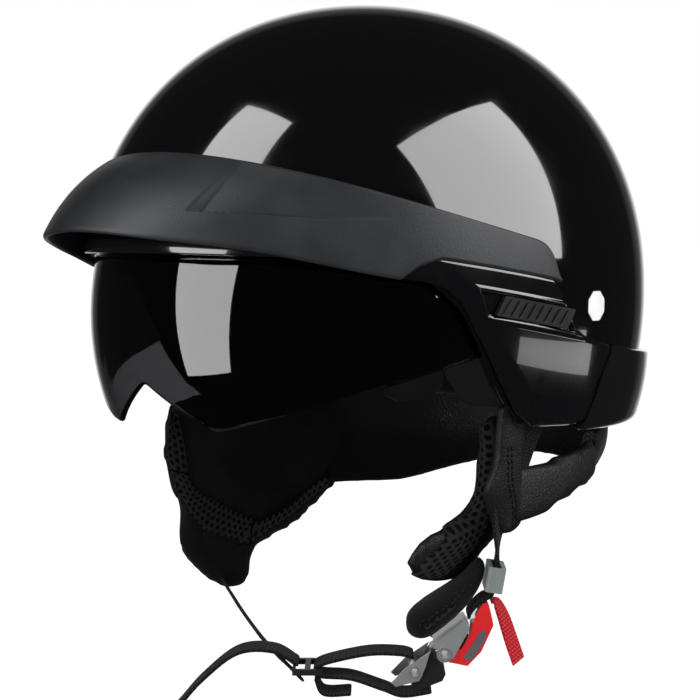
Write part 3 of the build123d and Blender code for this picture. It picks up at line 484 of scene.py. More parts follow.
weave = {
    "roughness": 0.8, "sockets": {"Sheen Weight": 0.05, "Specular IOR Level": 0.2}, "ribs": ("Y", 190),
    # the tints and edges give painted shade in the weave's grooves and painted highlight on its ribs
    "twill": ("DIAGONAL", 260), "tints": (0.5, 2.2), "edges": (0.1, 0.8), "bump": (0.7, 0.0005),
    "slots": {"webbing_black": (0.0065, 0.0065, 0.007), "ribbon_red": (0.62, 0.012, 0.018)},
}


def wovenWebbing(slot, color):
    # flat webbing on the piece's own UV: the product of ribs across and a fine twill along; its colour follows that
    # relief, darker in the low weave and paler on the raised yarn, as painted shade and painted highlight
    tree, shader = startMaterial(slot, color, weave["roughness"], sockets=weave["sockets"])
    place = coordinates(tree, "UV")
    height = addMath(tree, "MULTIPLY", addWave(tree, place, *weave["ribs"]), addWave(tree, place, *weave["twill"]))
    # colour by the weave's height: painted shade in the grooves, painted highlight on the raised yarn
    dark, pale = (tinted(color, factor) for factor in weave["tints"])
    addColor(tree, shader, height, [(weave["edges"][0], dark), (weave["edges"][1], pale)])
    addBump(tree, shader, height, *weave["bump"])


smoke = {
    "slot": "smoke_lens", "color": (0.045, 0.045, 0.05), "cloud": (25, 3), "uneven": (0.0, 0.02),
    "sockets": {"IOR": 1.55, "Transmission Weight": 1.0, "Coat Weight": 0.6, "Coat IOR": 1.8, "Coat Roughness": 0.0},
}


def smokeLens():
    # dark polished lens: tinted glass under a coat
    tree, shader = startMaterial(smoke["slot"], smoke["color"], 0.0, sockets=smoke["sockets"])
    addRoughness(tree, shader, addNoise(tree, coordinates(tree), *smoke["cloud"]), *smoke["uneven"])


for slot, settings in gloss["slots"].items():
    glossPlastic(slot, *settings)
for slot, settings in matte["slots"].items():
    mattePlastic(slot, *settings)
for slot, settings in steel["slots"].items():
    brushedSteel(slot, *settings)
for slot, settings in knit["slots"].items():
    knitFabric(slot, *settings)
spacerMesh()
vinylHide()
for slot, color in weave["slots"].items():
    wovenWebbing(slot, color)
smokeLens()
print("materials:", len(materials))


# The dome

rim = {
    "window": 5.0,
    # Y and Z of the shell's lower edge in the side view, from the front to the back
    "line": [(-183.3, 23.0), (-107.2, 18.9), (-70.5, 11.6), (-52.9, -4.0), (-42.3, -23.1),
             (-29.6, -41.6), (-16.9, -53.5), (7.0, -55.4), (183.3, -55.4)],
}
rimLine = smoothLine(rim["line"], rim["window"])
shell = {"columns": 257, "rows": 110, "bead": 7}


def makeShell():
    # rows run from the crown to the rim on the outer face and back up on the inner one:
    # z = half height * sin(turn) ^ (2 / power) and ring = cos(turn) ^ (2 / power)
    azimuth = np.linspace(0, 2 * math.pi, shell["columns"])
    rimHeight = heightOnLine(azimuth, rimLine, domePoint)

    def face(stand):
        high = dome["halfHeight"] + stand
        share = np.linspace(1, 0, shell["rows"])[:, None]
        power = 2 / dome["power"]
        lowTurn = np.arcsin(np.sign(rimHeight) * (np.abs(rimHeight) / high) ** (1 / power))
        turn = lowTurn + (math.pi / 2 - lowTurn) * share
        z = high * np.sign(np.sin(turn)) * np.abs(np.sin(turn)) ** power
        ring = np.abs(np.cos(turn)) ** power
        x = (dome["halfWidth"] + stand) * ring * np.sin(azimuth)
        y = -(dome["halfLength"] + stand) * ring * np.cos(azimuth)
        return np.stack([x, y, z], -1)

    outer, inner = face(0.0), face(-dome["wall"])
    middle, arm = (outer[-1] + inner[-1]) / 2, (outer[-1] - inner[-1]) / 2
    down = np.array([0, 0, -1.0]) * dome["wall"] / 2
    turns = np.linspace(0, math.pi, shell["bead"])[1:-1]
    bead = np.stack([middle + arm * math.cos(t) + down * math.sin(t) for t in turns])
    grid = np.concatenate([outer, bead, inner[::-1]])
    return addPiece("shellDome", [grid], "shell_black", "helmet", ["outer_shell"])


trim = {
    "lap": 4.5, "drop": 1.8, "outside": 1.2, "inside": 0.7, "half": 61.0, "columns": 180, "around": 40,
    # how far the lap's end is rounded, the round under the rim, and shares of the thickness at lap and drop
    "shoulder": 0.8, "heel": 0.4, "lipShare": 0.3, "dropShare": 0.4,
}


def makeTrim():
    # a bead round the front rim: a U section (out from the shell, up from the rim) carried along the rim line
    azimuth = np.radians(np.linspace(-trim["half"], trim["half"], trim["columns"]))
    rimHeight = heightOnLine(azimuth, rimLine, domePoint)
    out, inside, wall, heel = trim["outside"], trim["inside"], dome["wall"], trim["heel"]
    lap, shoulder = trim["lap"], trim["lap"] - trim["shoulder"]
    profile = np.array([(out * trim["lipShare"], lap), (out, shoulder), (out, -heel),
                        (out * trim["dropShare"], -trim["drop"]), (-wall + heel, -trim["drop"]),
                        (-wall - inside, -heel), (-wall - inside, shoulder),
                        (-wall - inside * trim["lipShare"], lap)])
    loop = np.concatenate([spline(profile, trim["around"]), profile[:1]])
    rows = [domePoint(azimuth, rimHeight + up, away) for away, up in loop]
    return addPiece("rimBead", [np.stack(rows, 1)], "trim_black", "helmet", ["edge_trim"], caps=True)


# Covers and band on the shell's sides

cover = {
    "stand": 3.0, "tall": 165.0, "columns": 420, "rows": 130, "topWindow": 2.0, "rounding": 4,
    # Y and Z of the upper and the lower edge in the side view
    "top": [(-80.0, 9.6), (-73.3, 14.3), (-64.0, 17.2), (-7.3, 7.9), (1.7, -7.9), (6.1, -13.2), (14.1, -18.2),
            (35.5, -23.0)],
    "bottom": [(-80.0, 9.6), (-67.4, 7.8), (-60.1, 4.4), (-53.9, -0.8), (-47.0, -12.8), (-33.4, -33.7),
               (-21.2, -48.2), (-12.0, -54.1), (19.9, -55.2)],
    "shellGap": 0.4, "leastWall": 0.6, "mostBevel": 2.4,
}
# the long slot: its middle in shares of the dome's half length and half height, and the lip round it
sliderSlot = {"middle": (-0.152, -0.043), "length": 47.0, "height": 9.5, "slant": 3.5, "slope": -0.172, "depth": 1.5,
              "ramp": 0.5, "lipAt": 1.3, "lipWide": 1.0, "lipHigh": 0.45}
# the step over the slot: Y where it fades in and out, Z at one Y, and the part of it that shows
step = {"fade": [-70, -48, 2.5, 30], "y": -21.4, "z": -13.5, "ramp": 1.2, "height": 0.9, "share": 0.6}
# the wide bevel of the front arm: Y and length of the ramp at each end; and the border rolled over all round
bevel = {"rear": (-12, 8), "front": (-66, 10), "depth": 2.0, "wide": 8.5, "roll": 0.9, "rollWide": 1.8}


def slotDepth(y, z):
    # 1 inside the slot's parallelogram and 0 outside, over a short ramp; and 1 on the lip round it
    middleY, middleZ = sliderSlot["middle"][0] * dome["halfLength"], sliderSlot["middle"][1] * dome["halfHeight"]
    up = z - (middleZ + sliderSlot["slope"] * (y - middleY))
    across = (y - middleY) + up * sliderSlot["slant"] / sliderSlot["height"]
    inset = np.minimum(sliderSlot["length"] / 2 - np.abs(across), sliderSlot["height"] / 2 - np.abs(up))
    inside = clamp(inset / sliderSlot["ramp"] + 0.5)
    lip = clamp(1 - np.abs(inset + sliderSlot["lipAt"]) / sliderSlot["lipWide"])
    return inside, lip


def makeCover(side):
    # the panel between its upper and lower edge, pushed in at the slot and rolled over at its border
    top = evenly(cover["top"], cover["columns"])
    bottom = evenly(cover["bottom"], cover["columns"])
    top[:, 1] = np.interp(top[:, 0], *smoothLine(cover["top"], cover["topWindow"]))
    v = np.linspace(0, 1, cover["rows"])
    plan = bottom[:, None] * (1 - v)[None, :, None] + top[:, None] * v[None, :, None]
    y, z = plan[..., 0], plan[..., 1]
    inside, lip = slotDepth(y, z)
    stepShare = np.interp(y, step["fade"], [0, 1, 1, 0])
    above = z - (step["z"] + sliderSlot["slope"] * (y - step["y"]))
    raised = clamp(above / step["ramp"]) * stepShare * step["height"]
    outwards = -sliderSlot["depth"] * inside + sliderSlot["lipHigh"] * lip * (1 - inside)
    outwards = outwards + raised * (1 - inside) * step["share"]
    low = v * np.linalg.norm(top - bottom, axis=1)[:, None]
    high = (1 - v) * np.linalg.norm(top - bottom, axis=1)[:, None]
    rear, front = bevel["rear"], bevel["front"]
    arm = clamp((rear[0] - y) / rear[1]) * clamp((y - front[0]) / front[1])
    cut = bevel["depth"] * arm * clamp(1 - low / bevel["wide"])
    cut = cut + bevel["roll"] * clamp(1 - np.minimum(low, high) / bevel["rollWide"]) ** 2
    x = sideX(y, z, cover["stand"], cover["tall"]) + outwards - np.minimum(cut, cover["mostBevel"])
    outer = np.stack([x, y, z], -1)
    shellX = sideX(y, z, cover["shellGap"], dome["halfHeight"] + cover["shellGap"])
    inner = np.stack([np.minimum(shellX, x - cover["leastWall"]), y, z], -1)
    grid = shellLoop(outer, inner, cover["rounding"])
    return addPiece("sideCover" + side, [grid if side == "Left" else mirrored(grid)], "cover_black", "helmet",
                    ["side_cover_" + side.lower()], caps=True)


band = {
    "extra": 1.0, "bulge": 0.5, "shellGap": 0.4, "columns": 260, "rows": 40, "rounding": 4,
    # Y and Z in the side view: the slanted seam, the upper and the lower edge, and how far the edges are averaged
    "seam": [(20.6, -57.5), (27.4, -37.6), (36.6, -23.0)],
    "top": [(20.0, -23.0), (36.0, -23.0), (60.0, -27.0), (87.4, -29.7), (180.0, -33.7)],
    "bottom": [(10.0, -55.2), (20.4, -55.2), (24.0, -57.0), (180.0, -59.4)], "topWindow": 6.0, "bottomWindow": 4.0,
}


def makeBand():
    # round the back from one slanted seam to the other, bulged by a sine between its two edges
    topLine = smoothLine(band["top"], band["topWindow"])
    bottomLine = smoothLine(band["bottom"], band["bottomWindow"])

    def pointAt(azimuth, z):
        return skirtPoint(azimuth, z, band["extra"])

    seam = np.array(band["seam"])
    v = np.linspace(0, 1, band["rows"])
    seamZ = seam[0, 1] + (seam[-1, 1] - seam[0, 1]) * v
    seamY = np.interp(seamZ, seam[:, 1], seam[:, 0])
    length = dome["halfLength"] + cover["stand"] + band["extra"]
    ringLength = length * superRing(seamZ, cover["tall"] + band["extra"])
    start = np.arccos(np.clip(-seamY / ringLength, -1, 1))
    u = np.linspace(0, 1, band["columns"])[:, None]
    azimuth = start + (2 * math.pi - 2 * start) * u
    top = heightOnLine(azimuth, topLine, pointAt)
    bottom = heightOnLine(azimuth, bottomLine, pointAt)
    z = bottom + (top - bottom) * v
    bulge = band["bulge"] * np.sin(math.pi * v)
    outer = skirtPoint(azimuth, z, band["extra"] + bulge - band["bulge"])
    inner = domePoint(azimuth, z, band["shellGap"])
    grid = shellLoop(outer, inner, band["rounding"])
    return addPiece("rearBand", [grid], "band_black", "helmet", ["rear_band"], caps=True)


# Peak

peak = {
    "centre": -40.0, "wall": 2.4, "topMean": 30.0, "topRise": 31.6, "edge": 1.3, "crown": 4.0, "limit": 106.4,
    "endStart": 99.0, "endDrop": 13.5, "endPower": 5, "clear": 0.5, "leastHeight": 1.0, "rearWindow": 2.5,
    "rearFrom": -90, "fits": 4, "wingFrom": 50, "wingOver": 20, "columns": 500, "samples": 1200, "rows": (100, 50),
    # azimuth in degrees, how far the lip stands off the shell, the lip's height, share of the crown
    "lip": [(0, 33.0, 30.2, 1.0), (8, 31.3, 29.4, 1.0), (16, 27.4, 27.5, 1.0), (24, 22.1, 25.5, 0.95),
            (32, 17.0, 23.4, 0.85), (40, 12.2, 20.6, 0.7), (48, 7.6, 17.3, 0.5), (56, 5.1, 14.1, 0.35),
            (65, 4.3, 10.8, 0.25), (76, 4.2, 7.4, 0.15), (90, 4.2, 3.7, 0.1), (108, 4.2, 0.0, 0.0)],
    # Y and Z of the covers' upper edge, over which the wings end
    "rear": [(-90.0, 2.0), (-80.0, 9.6), (-73.3, 14.6), (-64.0, 17.4), (-8.0, 8.2), (0.0, 6.0)],
}
# the pressed-in panel: corners as an azimuth in degrees and a share of the way from the upper edge to the lip
panel = {"depth": 3.0, "corner": (22.5, 0.74), "apex": (29.5, 0.02), "end": (67.5, 0.29), "wall": 1.8, "ledge": 0.028,
         "bow": 0.05, "fadePower": 0.8}


def domeReach(azimuth, z, stand=0.0):
    # distance from the peak's upright axis to the dome along an azimuth: the root of a r^2 + b r + c
    ring = superRing(z, dome["halfHeight"] + stand) ** 2
    across, length = dome["halfWidth"] + stand, dome["halfLength"] + stand
    a = (np.sin(azimuth) / across) ** 2 + (np.cos(azimuth) / length) ** 2
    b = -2 * peak["centre"] * np.cos(azimuth) / length ** 2
    c = (peak["centre"] / length) ** 2 - ring
    return (-b + np.sqrt(np.maximum(b * b - 4 * a * c, 0))) / (2 * a)


def peakPlace(azimuth, reach, z):
    # a place at a distance from the peak's upright axis
    return np.stack([reach * np.sin(azimuth), peak["centre"] - reach * np.cos(azimuth), z + 0 * reach], -1)


def panelSink(degrees, t):
    # depth of the panel: full behind a short wall at its front and lower edge, fading upwards and to its end
    cornerA, cornerT = panel["corner"]
    apexA, apexT = panel["apex"]
    endA, endT = panel["end"]
    frontEdge = cornerA + (apexA - cornerA) * (cornerT - t) / (cornerT - apexT)
    lowEdge = cornerT + (endT - cornerT) * (degrees - cornerA) / (endA - cornerA)
    lowEdge = lowEdge + panel["bow"] * np.sin(math.pi * clamp((degrees - cornerA) / (endA - cornerA)))
    inDegrees = clamp((degrees - frontEdge) / panel["wall"])
    inHeight = clamp((lowEdge - t) / panel["ledge"])
    fadeEnd = clamp((endA - degrees) / (endA - cornerA))
    fadeTop = clamp((t - apexT) / (cornerT - apexT))
    return panel["depth"] * np.minimum(inDegrees, inHeight) * fadeEnd * fadeTop ** panel["fadePower"]


def makePeak():
    # columns run from the upper edge to the lip; both faces carry the pressed-in panel on each side
    table = np.array([(-row[0], *row[1:]) for row in peak["lip"][:0:-1]] + peak["lip"], float)
    degrees = np.linspace(-peak["limit"], peak["limit"], peak["columns"])
    azimuth, wide = np.radians(degrees)[:, None], np.abs(degrees)[:, None]
    rows = spline(table, peak["samples"])
    stand, lipZ, crown = (np.interp(degrees, rows[:, 0], rows[:, k])[:, None] for k in (1, 2, 3))
    crown = crown * peak["crown"]
    rowZ, rear = lipZ, smoothLine(peak["rear"], peak["rearWindow"])
    for _ in range(peak["fits"]):
        # the wings end above the cover's upper edge
        y = peak["centre"] - (domeReach(azimuth, lipZ) + stand) * np.cos(azimuth)
        lipZ = np.maximum(rowZ, np.where(y > peak["rearFrom"], np.interp(y, *rear) + peak["clear"], rowZ))
    ending = clamp((wide - peak["endStart"]) / (peak["limit"] - peak["endStart"]))
    topZ = peak["topMean"] + peak["topRise"] * np.cos(azimuth)
    topZ = np.maximum(topZ - peak["endDrop"] * ending ** peak["endPower"], lipZ + peak["leastHeight"])
    lipReach = domeReach(azimuth, lipZ) + stand
    topReach = domeReach(azimuth, topZ) + peak["edge"] + peak["wall"]

    def face(t, depth):
        # a wing follows the dome between its two edges, the bill in front of it is a straight slope
        z = topZ + (lipZ - topZ) * t
        straight = topReach + (lipReach - topReach) * t
        size = np.hypot(lipReach - topReach, topZ - lipZ)
        hug = domeReach(azimuth, z) + (peak["edge"] + peak["wall"]) * (1 - t) + stand * t
        share = clamp((wide - peak["wingFrom"]) / peak["wingOver"])
        bulge = crown * 4 * t * (1 - t) * (1 - share) - depth
        reach = straight * (1 - share) + hug * share + bulge * (topZ - lipZ) / size
        return peakPlace(azimuth, reach, z + bulge * (lipReach - topReach) / size)

    many, fewer = (np.linspace(0, 1, count)[None, :] for count in peak["rows"])
    outer = face(many, panelSink(wide + 0 * many, many + 0 * azimuth))
    inner = face(fewer, peak["wall"] + panelSink(wide + 0 * fewer, fewer + 0 * azimuth))
    return addPiece("peakBill", [shellLoop(outer, inner)], "peak_grey", "peak", ["peak"], caps=True)


# Sun lens

lens = {
    "radius": 122.0, "halfWidth": 110.0, "wall": 2.2, "pivotY": -16.0, "pivotZ": -10.0, "columns": 361, "rows": 90,
    # how far the columns crowd at the two ends, the share of the half width that they reach, the widest turn
    "spread": 0.9965, "reach": 0.977, "turn": 1.5, "rounding": 3, "samples": 1200,
    "upperWindow": 6.0, "lowerWindow": 5.0, "frontWindow": 4.0,
    # Y and Z of the upper and lower edge in the side view, X and Z of the lower edge from the front
    "upper": [(-170.0, 27.5), (-138.2, 27.1), (-98.7, 23.5), (-70.5, 16.5), (-46.5, 8.2), (-23.3, 1.3), (-7.3, -4.0)],
    "lower": [(-170.0, -90.0), (-98.7, -47.5), (-59.2, -29.3), (-22.6, -19.8), (-7.3, -16.5)],
    "front": [(0.0, -35.4), (11.8, -42.9), (30.9, -55.2), (39.5, -54.4), (73.2, -43.6), (100.9, -29.6),
              (153.0, -13.0)],
}


def makeLens():
    # a spheroid about the pivots' axis: rings round X, each cut between the upper and the lower outline
    side = np.arcsin(np.linspace(-lens["spread"], lens["spread"], lens["columns"])) / math.asin(lens["spread"])
    x = lens["halfWidth"] * np.sin(side * math.pi / 2 * lens["reach"])
    upperLine = smoothLine(lens["upper"], lens["upperWindow"])
    lowerLine = smoothLine(lens["lower"], lens["lowerWindow"])
    both = [(-a, b) for a, b in lens["front"][:0:-1]] + lens["front"]
    frontLine = smoothLine(both, lens["frontWindow"], lens["samples"])

    def crossing(line, radius):
        # the turn at which a ring of this radius crosses the line z(y)
        def isOver(turn):
            y = lens["pivotY"] - radius * np.cos(turn)
            return lens["pivotZ"] + radius * np.sin(turn) > np.interp(y, *line)

        return halve(np.full_like(radius, lens["turn"]), isOver)

    def face(depth):
        half, radius = lens["halfWidth"] - depth, lens["radius"] - depth
        ring = radius * np.sqrt(np.maximum(1 - (x / lens["halfWidth"]) ** 2, 0))
        upper = crossing(upperLine, ring)
        frontZ = np.interp(x, *frontLine)
        frontLow = np.arcsin(np.clip((frontZ - lens["pivotZ"]) / np.maximum(ring, tiny), -1, 1))
        lower = np.maximum(crossing(lowerLine, ring), frontLow)
        turn = lower[:, None] + (upper - lower)[:, None] * np.linspace(0, 1, lens["rows"])[None, :]
        return np.stack([(x * half / lens["halfWidth"])[:, None] + 0 * turn,
                         lens["pivotY"] - ring[:, None] * np.cos(turn),
                         lens["pivotZ"] + ring[:, None] * np.sin(turn)], -1)

    grid = shellLoop(face(0.0), face(lens["wall"]), lens["rounding"])
    return addPiece("sunLens", [grid], "smoke_lens", "lens", ["sun_lens"], caps=True)


makeShell()
makeTrim()
for side in ("Left", "Right"):
    makeCover(side)
makeBand()
makePeak()
makeLens()
print("hard shells made")


# Soft parts

cloth = {"frames": 20, "pressure": 4.0, "stiffness": 15, "voxel": 4.0}
patch = {"lift": 0.5, "thick": 1.2, "smoothings": 4}
coarseStitch = {"gap": 3.2, "length": 2.3, "radius": 0.42}
fineStitch = {"gap": 2.6, "length": 1.9, "radius": 0.36}
padStitch = {"gap": 2.6, "length": 1.9, "radius": 0.4}
stitchShape = {"lift": 0.35, "rings": 9, "power": 0.6, "samples": (200, 400)}


def closing(share, start, end):
    # 1 in the middle and falling to 0 at both ends along a quarter circle, over the shares start and end
    near = clamp(share / start)
    far = clamp((1 - share) / end)
    return np.sqrt(clamp(1 - (1 - np.minimum(near, far)) ** 2))


def softLoop(centre, wide, thick, power, around):
    # closed sections: centre + wide * |cos|^(2/power) + thick * |sin|^(2/power), with the signs kept
    turn = np.linspace(0, 2 * math.pi, around + 1)
    c, s = np.cos(turn), np.sin(turn)
    c = (np.sign(c) * np.abs(c) ** (2 / power))[None, :, None]
    s = (np.sign(s) * np.abs(s) ** (2 / power))[None, :, None]
    return centre[:, None] + wide[:, None] * c + thick[:, None] * s


def applyModifiers(piece):
    # the piece's modifiers made part of its mesh
    mesh = bpy.data.meshes.new_from_object(piece.evaluated_get(bpy.context.evaluated_depsgraph_get()))
    piece.modifiers.clear()
    old, piece.data = piece.data, mesh
    bpy.data.meshes.remove(old)
    shadeSmooth(mesh)


def readPoints(mesh):
    points = np.zeros(len(mesh.vertices) * 3, np.float32)
    mesh.vertices.foreach_get("co", points)
    return points.reshape(-1, 3)


def swell(piece, cap, voxel=cloth["voxel"]):
    # cloth under pressure: remeshed, blown up frame by frame, no point moved further than the cap, subdivided
    remesh = piece.modifiers.new("remesh", "REMESH")
    remesh.mode = "VOXEL"
    remesh.voxel_size = voxel * mm
    applyModifiers(piece)
    start = readPoints(piece.data)
    settings = piece.modifiers.new("cloth", "CLOTH").settings
    settings.use_pressure = True
    settings.uniform_pressure_force = cloth["pressure"]
    settings.effector_weights.gravity = 0
    settings.tension_stiffness = settings.compression_stiffness = cloth["stiffness"]
    for number in range(1, cloth["frames"] + 1):
        scene.frame_set(number)
    blown = piece.evaluated_get(bpy.context.evaluated_depsgraph_get())
    move = readPoints(blown.to_mesh()) - start
    blown.to_mesh_clear()
    size = np.linalg.norm(move, axis=1, keepdims=True)
    move *= np.minimum(1, cap * mm / np.maximum(size, tiny))
    piece.modifiers.clear()
    piece.data.vertices.foreach_set("co", (start + move).ravel())
    scene.frame_set(1)
    finer = piece.modifiers.new("finer", "SUBSURF")
    finer.levels = finer.render_levels = 1
    return piece


def layOn(name, grid, target, lift=patch["lift"], thick=patch["thick"]):
    # a patch of mesh cloth laid on a padded piece: a grid drawn to its surface, smoothed and thickened
    piece = addPiece(name, [grid], "mesh_black", "helmet")
    wrap = piece.modifiers.new("wrap", "SHRINKWRAP")
    wrap.wrap_method = "NEAREST_SURFACEPOINT"
    wrap.wrap_mode = "OUTSIDE_SURFACE"
    wrap.target = target
    wrap.offset = lift * mm
    applyModifiers(piece)
    smooth = piece.modifiers.new("smooth", "SMOOTH")
    smooth.iterations = patch["smoothings"]
    applyModifiers(piece)
    solid = piece.modifiers.new("thick", "SOLIDIFY")
    solid.thickness = thick * mm
    solid.offset = 0.0


def between(left, right, rows, columns):
    # a grid of straight rows between two lines
    a, b = evenly(left, rows), evenly(right, rows)
    v = np.linspace(0, 1, columns)[None, :, None]
    return a[:, None] * (1 - v) + b[:, None] * v


def nearPlaces(points, target):
    # the places on a piece nearest to some points, and the surface's direction there
    found = [target.closest_point_on_mesh(Vector(p * mm))[1:3] for p in points]
    return np.array([place for place, _ in found]) / mm, np.array([way for _, way in found])


def stitchRow(name, points, target, slot, stitch):
    # a row of stitches along a path on a piece: a small capsule for each gap, round where sin(t) is large
    few, many = stitchShape["samples"]
    path = evenly(spline(points, few), many)
    count = max(2, int(np.linalg.norm(np.diff(path, axis=0), axis=1).sum() / stitch["gap"]))
    places, ways = nearPlaces(evenly(path, count), target)
    runs = unit(np.gradient(places, axis=0))
    sides = unit(np.cross(runs, ways))
    t = np.linspace(0, math.pi, stitchShape["rings"])[:, None, None]
    turn = np.linspace(0, 2 * math.pi, stitchShape["rings"])[None, :, None]
    across = stitch["radius"] * np.sin(t) ** stitchShape["power"]
    grids = []
    for place, way, run, side in zip(places + ways * stitchShape["lift"], ways, runs, sides):
        grids.append(place - run * np.cos(t) * stitch["length"] / 2 + side * across * np.cos(turn)
                     + way * across * np.sin(turn))
    return addPiece(name, grids, slot, "helmet")


# Ear flaps: rows give the height, the front and rear edge in Y, and how far out the flap's middle lies

flapShape = {"samples": 110, "around": 120, "power": 3.2, "leastWidth": 0.35, "reach": 16.0}
rightFlap = {
    "name": "earFlapRight", "side": -1, "thick": 9.0, "cap": 1.6, "closeTop": 0.03, "closeLow": 0.10,
    "rows": [(-51.0, -51.0, 58.5, 94.6), (-68.0, -59.0, 60.0, 93.0), (-90.0, -60.5, 57.5, 89.6),
             (-106.5, -54.5, 47.5, 86.9), (-121.0, -53.0, 27.5, 85.2), (-131.0, -48.0, 1.5, 84.1),
             (-142.0, -36.0, -5.0, 83.0), (-151.5, -21.5, -8.5, 82.0)],
    # Y and Z of the two edges of each strip of mesh cloth, and of each row of stitches
    "strips": {
        "flapMeshFront": ([(-62, -54), (-61.5, -70), (-62.5, -86)],
                          [(-51, -56), (-50, -70), (-49, -88)]),
        "flapMeshBand": ([(-62, -87), (-56, -104), (-38, -118), (-8, -127)],
                         [(-50, -89), (-44, -97), (-29, -104), (-6, -115)]),
        "flapMeshEdge": ([(-7, -128), (10, -121), (27, -112), (44, -104)],
                         [(-6, -118), (9, -113), (25, -106), (42, -99)]),
    },
    "stripGrid": (90, 36),
    "seams": {
        "seamFront": [(-49.5, -56), (-48.5, -70), (-47.5, -88), (-42, -96), (-28, -103), (-5, -114)],
        "seamLow": [(-55, -106), (-37, -120), (-8, -129)],
        "seamBack": [(-5, -116), (9, -111.5), (25, -104.5), (42, -97.5)],
        "seamChin": [(-45, -116), (-30, -135), (-17, -147)],
    },
}
leftFlap = {
    "name": "earFlapLeft", "side": 1, "thick": 9.0, "cap": 1.6, "closeTop": 0.03, "closeLow": 0.14,
    "rows": [(-51.0, -23.0, 7.0, 93.5), (-68.0, -21.5, 7.5, 92.0), (-88.0, -22.0, 8.0, 87.0),
             (-97.0, -30.0, 7.0, 84.4), (-104.0, -43.0, 5.0, 81.0), (-111.0, -49.0, 0.5, 77.8),
             (-119.0, -48.0, -6.5, 74.6), (-127.5, -38.0, -13.0, 72.0)],
    # X, Y and Z of the two edges of its mesh cloth
    "mesh": ([(84, -30, -53), (84, -29, -68), (82, -30, -88), (80, -38, -96), (82, -34, -104), (76, -42, -112),
              (72, -46, -121)],
             [(100, -16, -53), (100, -13, -68), (98, -17, -86), (94, -16, -95), (92, -16, -104), (88, -18, -113),
              (80, -32, -124)]),
    "meshGrid": (110, 44), "meshLift": 0.6,
}
# the sleeve round the webbing: X, Y, Z and half width of its rows, and its two rows of stitches
sleeve = {
    "rows": [(103.5, -14, -46, 9), (102.5, -15.5, -60, 8), (101, -15.5, -72, 8), (99, -16, -83, 11),
             (97, -13, -91, 10), (95.5, -10, -98, 8.5), (94.5, -10, -104, 5)],
    "samples": 90, "closeTop": 0.03, "closeLow": 0.12, "leastWidth": 0.3, "halfThick": 3.4, "power": 3.0,
    "around": 80,
    "seam": [(110, -20, -66), (108, -17, -80), (104, -11, -92), (102, -9, -101)],
    "shifts": {"sleeveSeamFront": 0.0, "sleeveSeamRear": 2.4},
}
# the band that runs back to the nape curtain: X, Y, Z and half height of its rows
flapBand = {
    "rows": [(98, -12, -88, 13), (97.5, 8, -86, 13), (95.5, 26, -82.5, 11.5), (91, 44, -79, 10.5),
             (85, 60, -77, 9.5)],
    "samples": 60, "close": 0.06, "leastHeight": 0.5, "halfThick": 4.0, "power": 3.0, "around": 80, "cap": 1.4,
}


def makeFlap(flap, node, slot):
    # level sections between the front and the rear edge, bent round the head and rounded at both ends
    rows = spline(flap["rows"], flapShape["samples"])
    close = closing(np.linspace(0, 1, flapShape["samples"]), flap["closeTop"], flap["closeLow"])
    z, front, rear, face = (rows[:, k] for k in range(4))
    least = flapShape["leastWidth"]
    middle, half = (front + rear) / 2, (rear - front) / 2 * (least + (1 - least) * close)
    centre = np.stack([face * flap["side"], middle, z], -1)
    zero = 0 * z
    wide = np.stack([zero, half, zero], -1)
    thick = np.stack([flap["side"] * (flap["thick"] / 2) * close, zero, zero], -1)
    grid = softLoop(centre, wide, thick, flapShape["power"], flapShape["around"])
    grid[..., 0] -= flap["side"] * (grid[..., 1] - middle[:, None]) ** 2 / (2 * dome["halfLength"])
    piece = addPiece(flap["name"], [grid], slot, "helmet", node)
    return swell(piece, flap["cap"])


def innerSide(flap, points):
    # side-view places set in front of the face of a flap that looks at the wearer
    rows = spline(flap["rows"], flapShape["samples"])
    points = np.array(points, float)
    face = np.interp(-points[..., 1], -rows[:, 0], rows[:, 3]) - flapShape["reach"]
    return np.stack([face * flap["side"], points[..., 0], points[..., 1]], -1)


def makeRightFlap():
    flap = makeFlap(rightFlap, ["ear_flap_right"], "lining_black")
    for name, (left, right) in rightFlap["strips"].items():
        layOn(name, between(innerSide(rightFlap, left), innerSide(rightFlap, right), *rightFlap["stripGrid"]), flap)
    for name, points in rightFlap["seams"].items():
        stitchRow(name, innerSide(rightFlap, points), flap, "lining_black", coarseStitch)


def makeLeftFlap():
    flap = makeFlap(leftFlap, ["ear_flap_left"], "curtain_black")
    layOn("flapMeshLeft", between(*leftFlap["mesh"], *leftFlap["meshGrid"]), flap, leftFlap["meshLift"])
    rows = spline(sleeve["rows"], sleeve["samples"])
    close = closing(np.linspace(0, 1, sleeve["samples"]), sleeve["closeTop"], sleeve["closeLow"])
    least, zero = sleeve["leastWidth"], 0 * close
    wide = np.stack([zero, rows[:, 3] * (least + (1 - least) * close), zero], -1)
    thick = np.stack([sleeve["halfThick"] * close, zero, zero], -1)
    grid = softLoop(rows[:, :3], wide, thick, sleeve["power"], sleeve["around"])
    cloak = addPiece("flapSleeve", [grid], "curtain_black", "helmet")
    for name, shift in sleeve["shifts"].items():
        points = [(x, y + shift, z) for x, y, z in sleeve["seam"]]
        stitchRow(name, points, cloak, "webbing_black", fineStitch)


def makeFlapBand():
    # upright sections along the band's rows, thinner and lower at both ends
    rows = spline(flapBand["rows"], flapBand["samples"])
    run = unit(np.gradient(rows[:, :3], axis=0))
    upward = np.array([0, 0, 1.0]) + 0 * run
    across = unit(np.cross(run, upward))
    close = closing(np.linspace(0, 1, flapBand["samples"]), flapBand["close"], flapBand["close"])[:, None]
    least = flapBand["leastHeight"]
    grid = softLoop(rows[:, :3], upward * rows[:, 3:] * (least + (1 - least) * close),
                    across * flapBand["halfThick"] * close, flapBand["power"], flapBand["around"])
    piece = addPiece("flapBand", [grid], "curtain_black", "helmet")
    swell(piece, flapBand["cap"])


# Nape curtain: hung lower on the right side than on the left

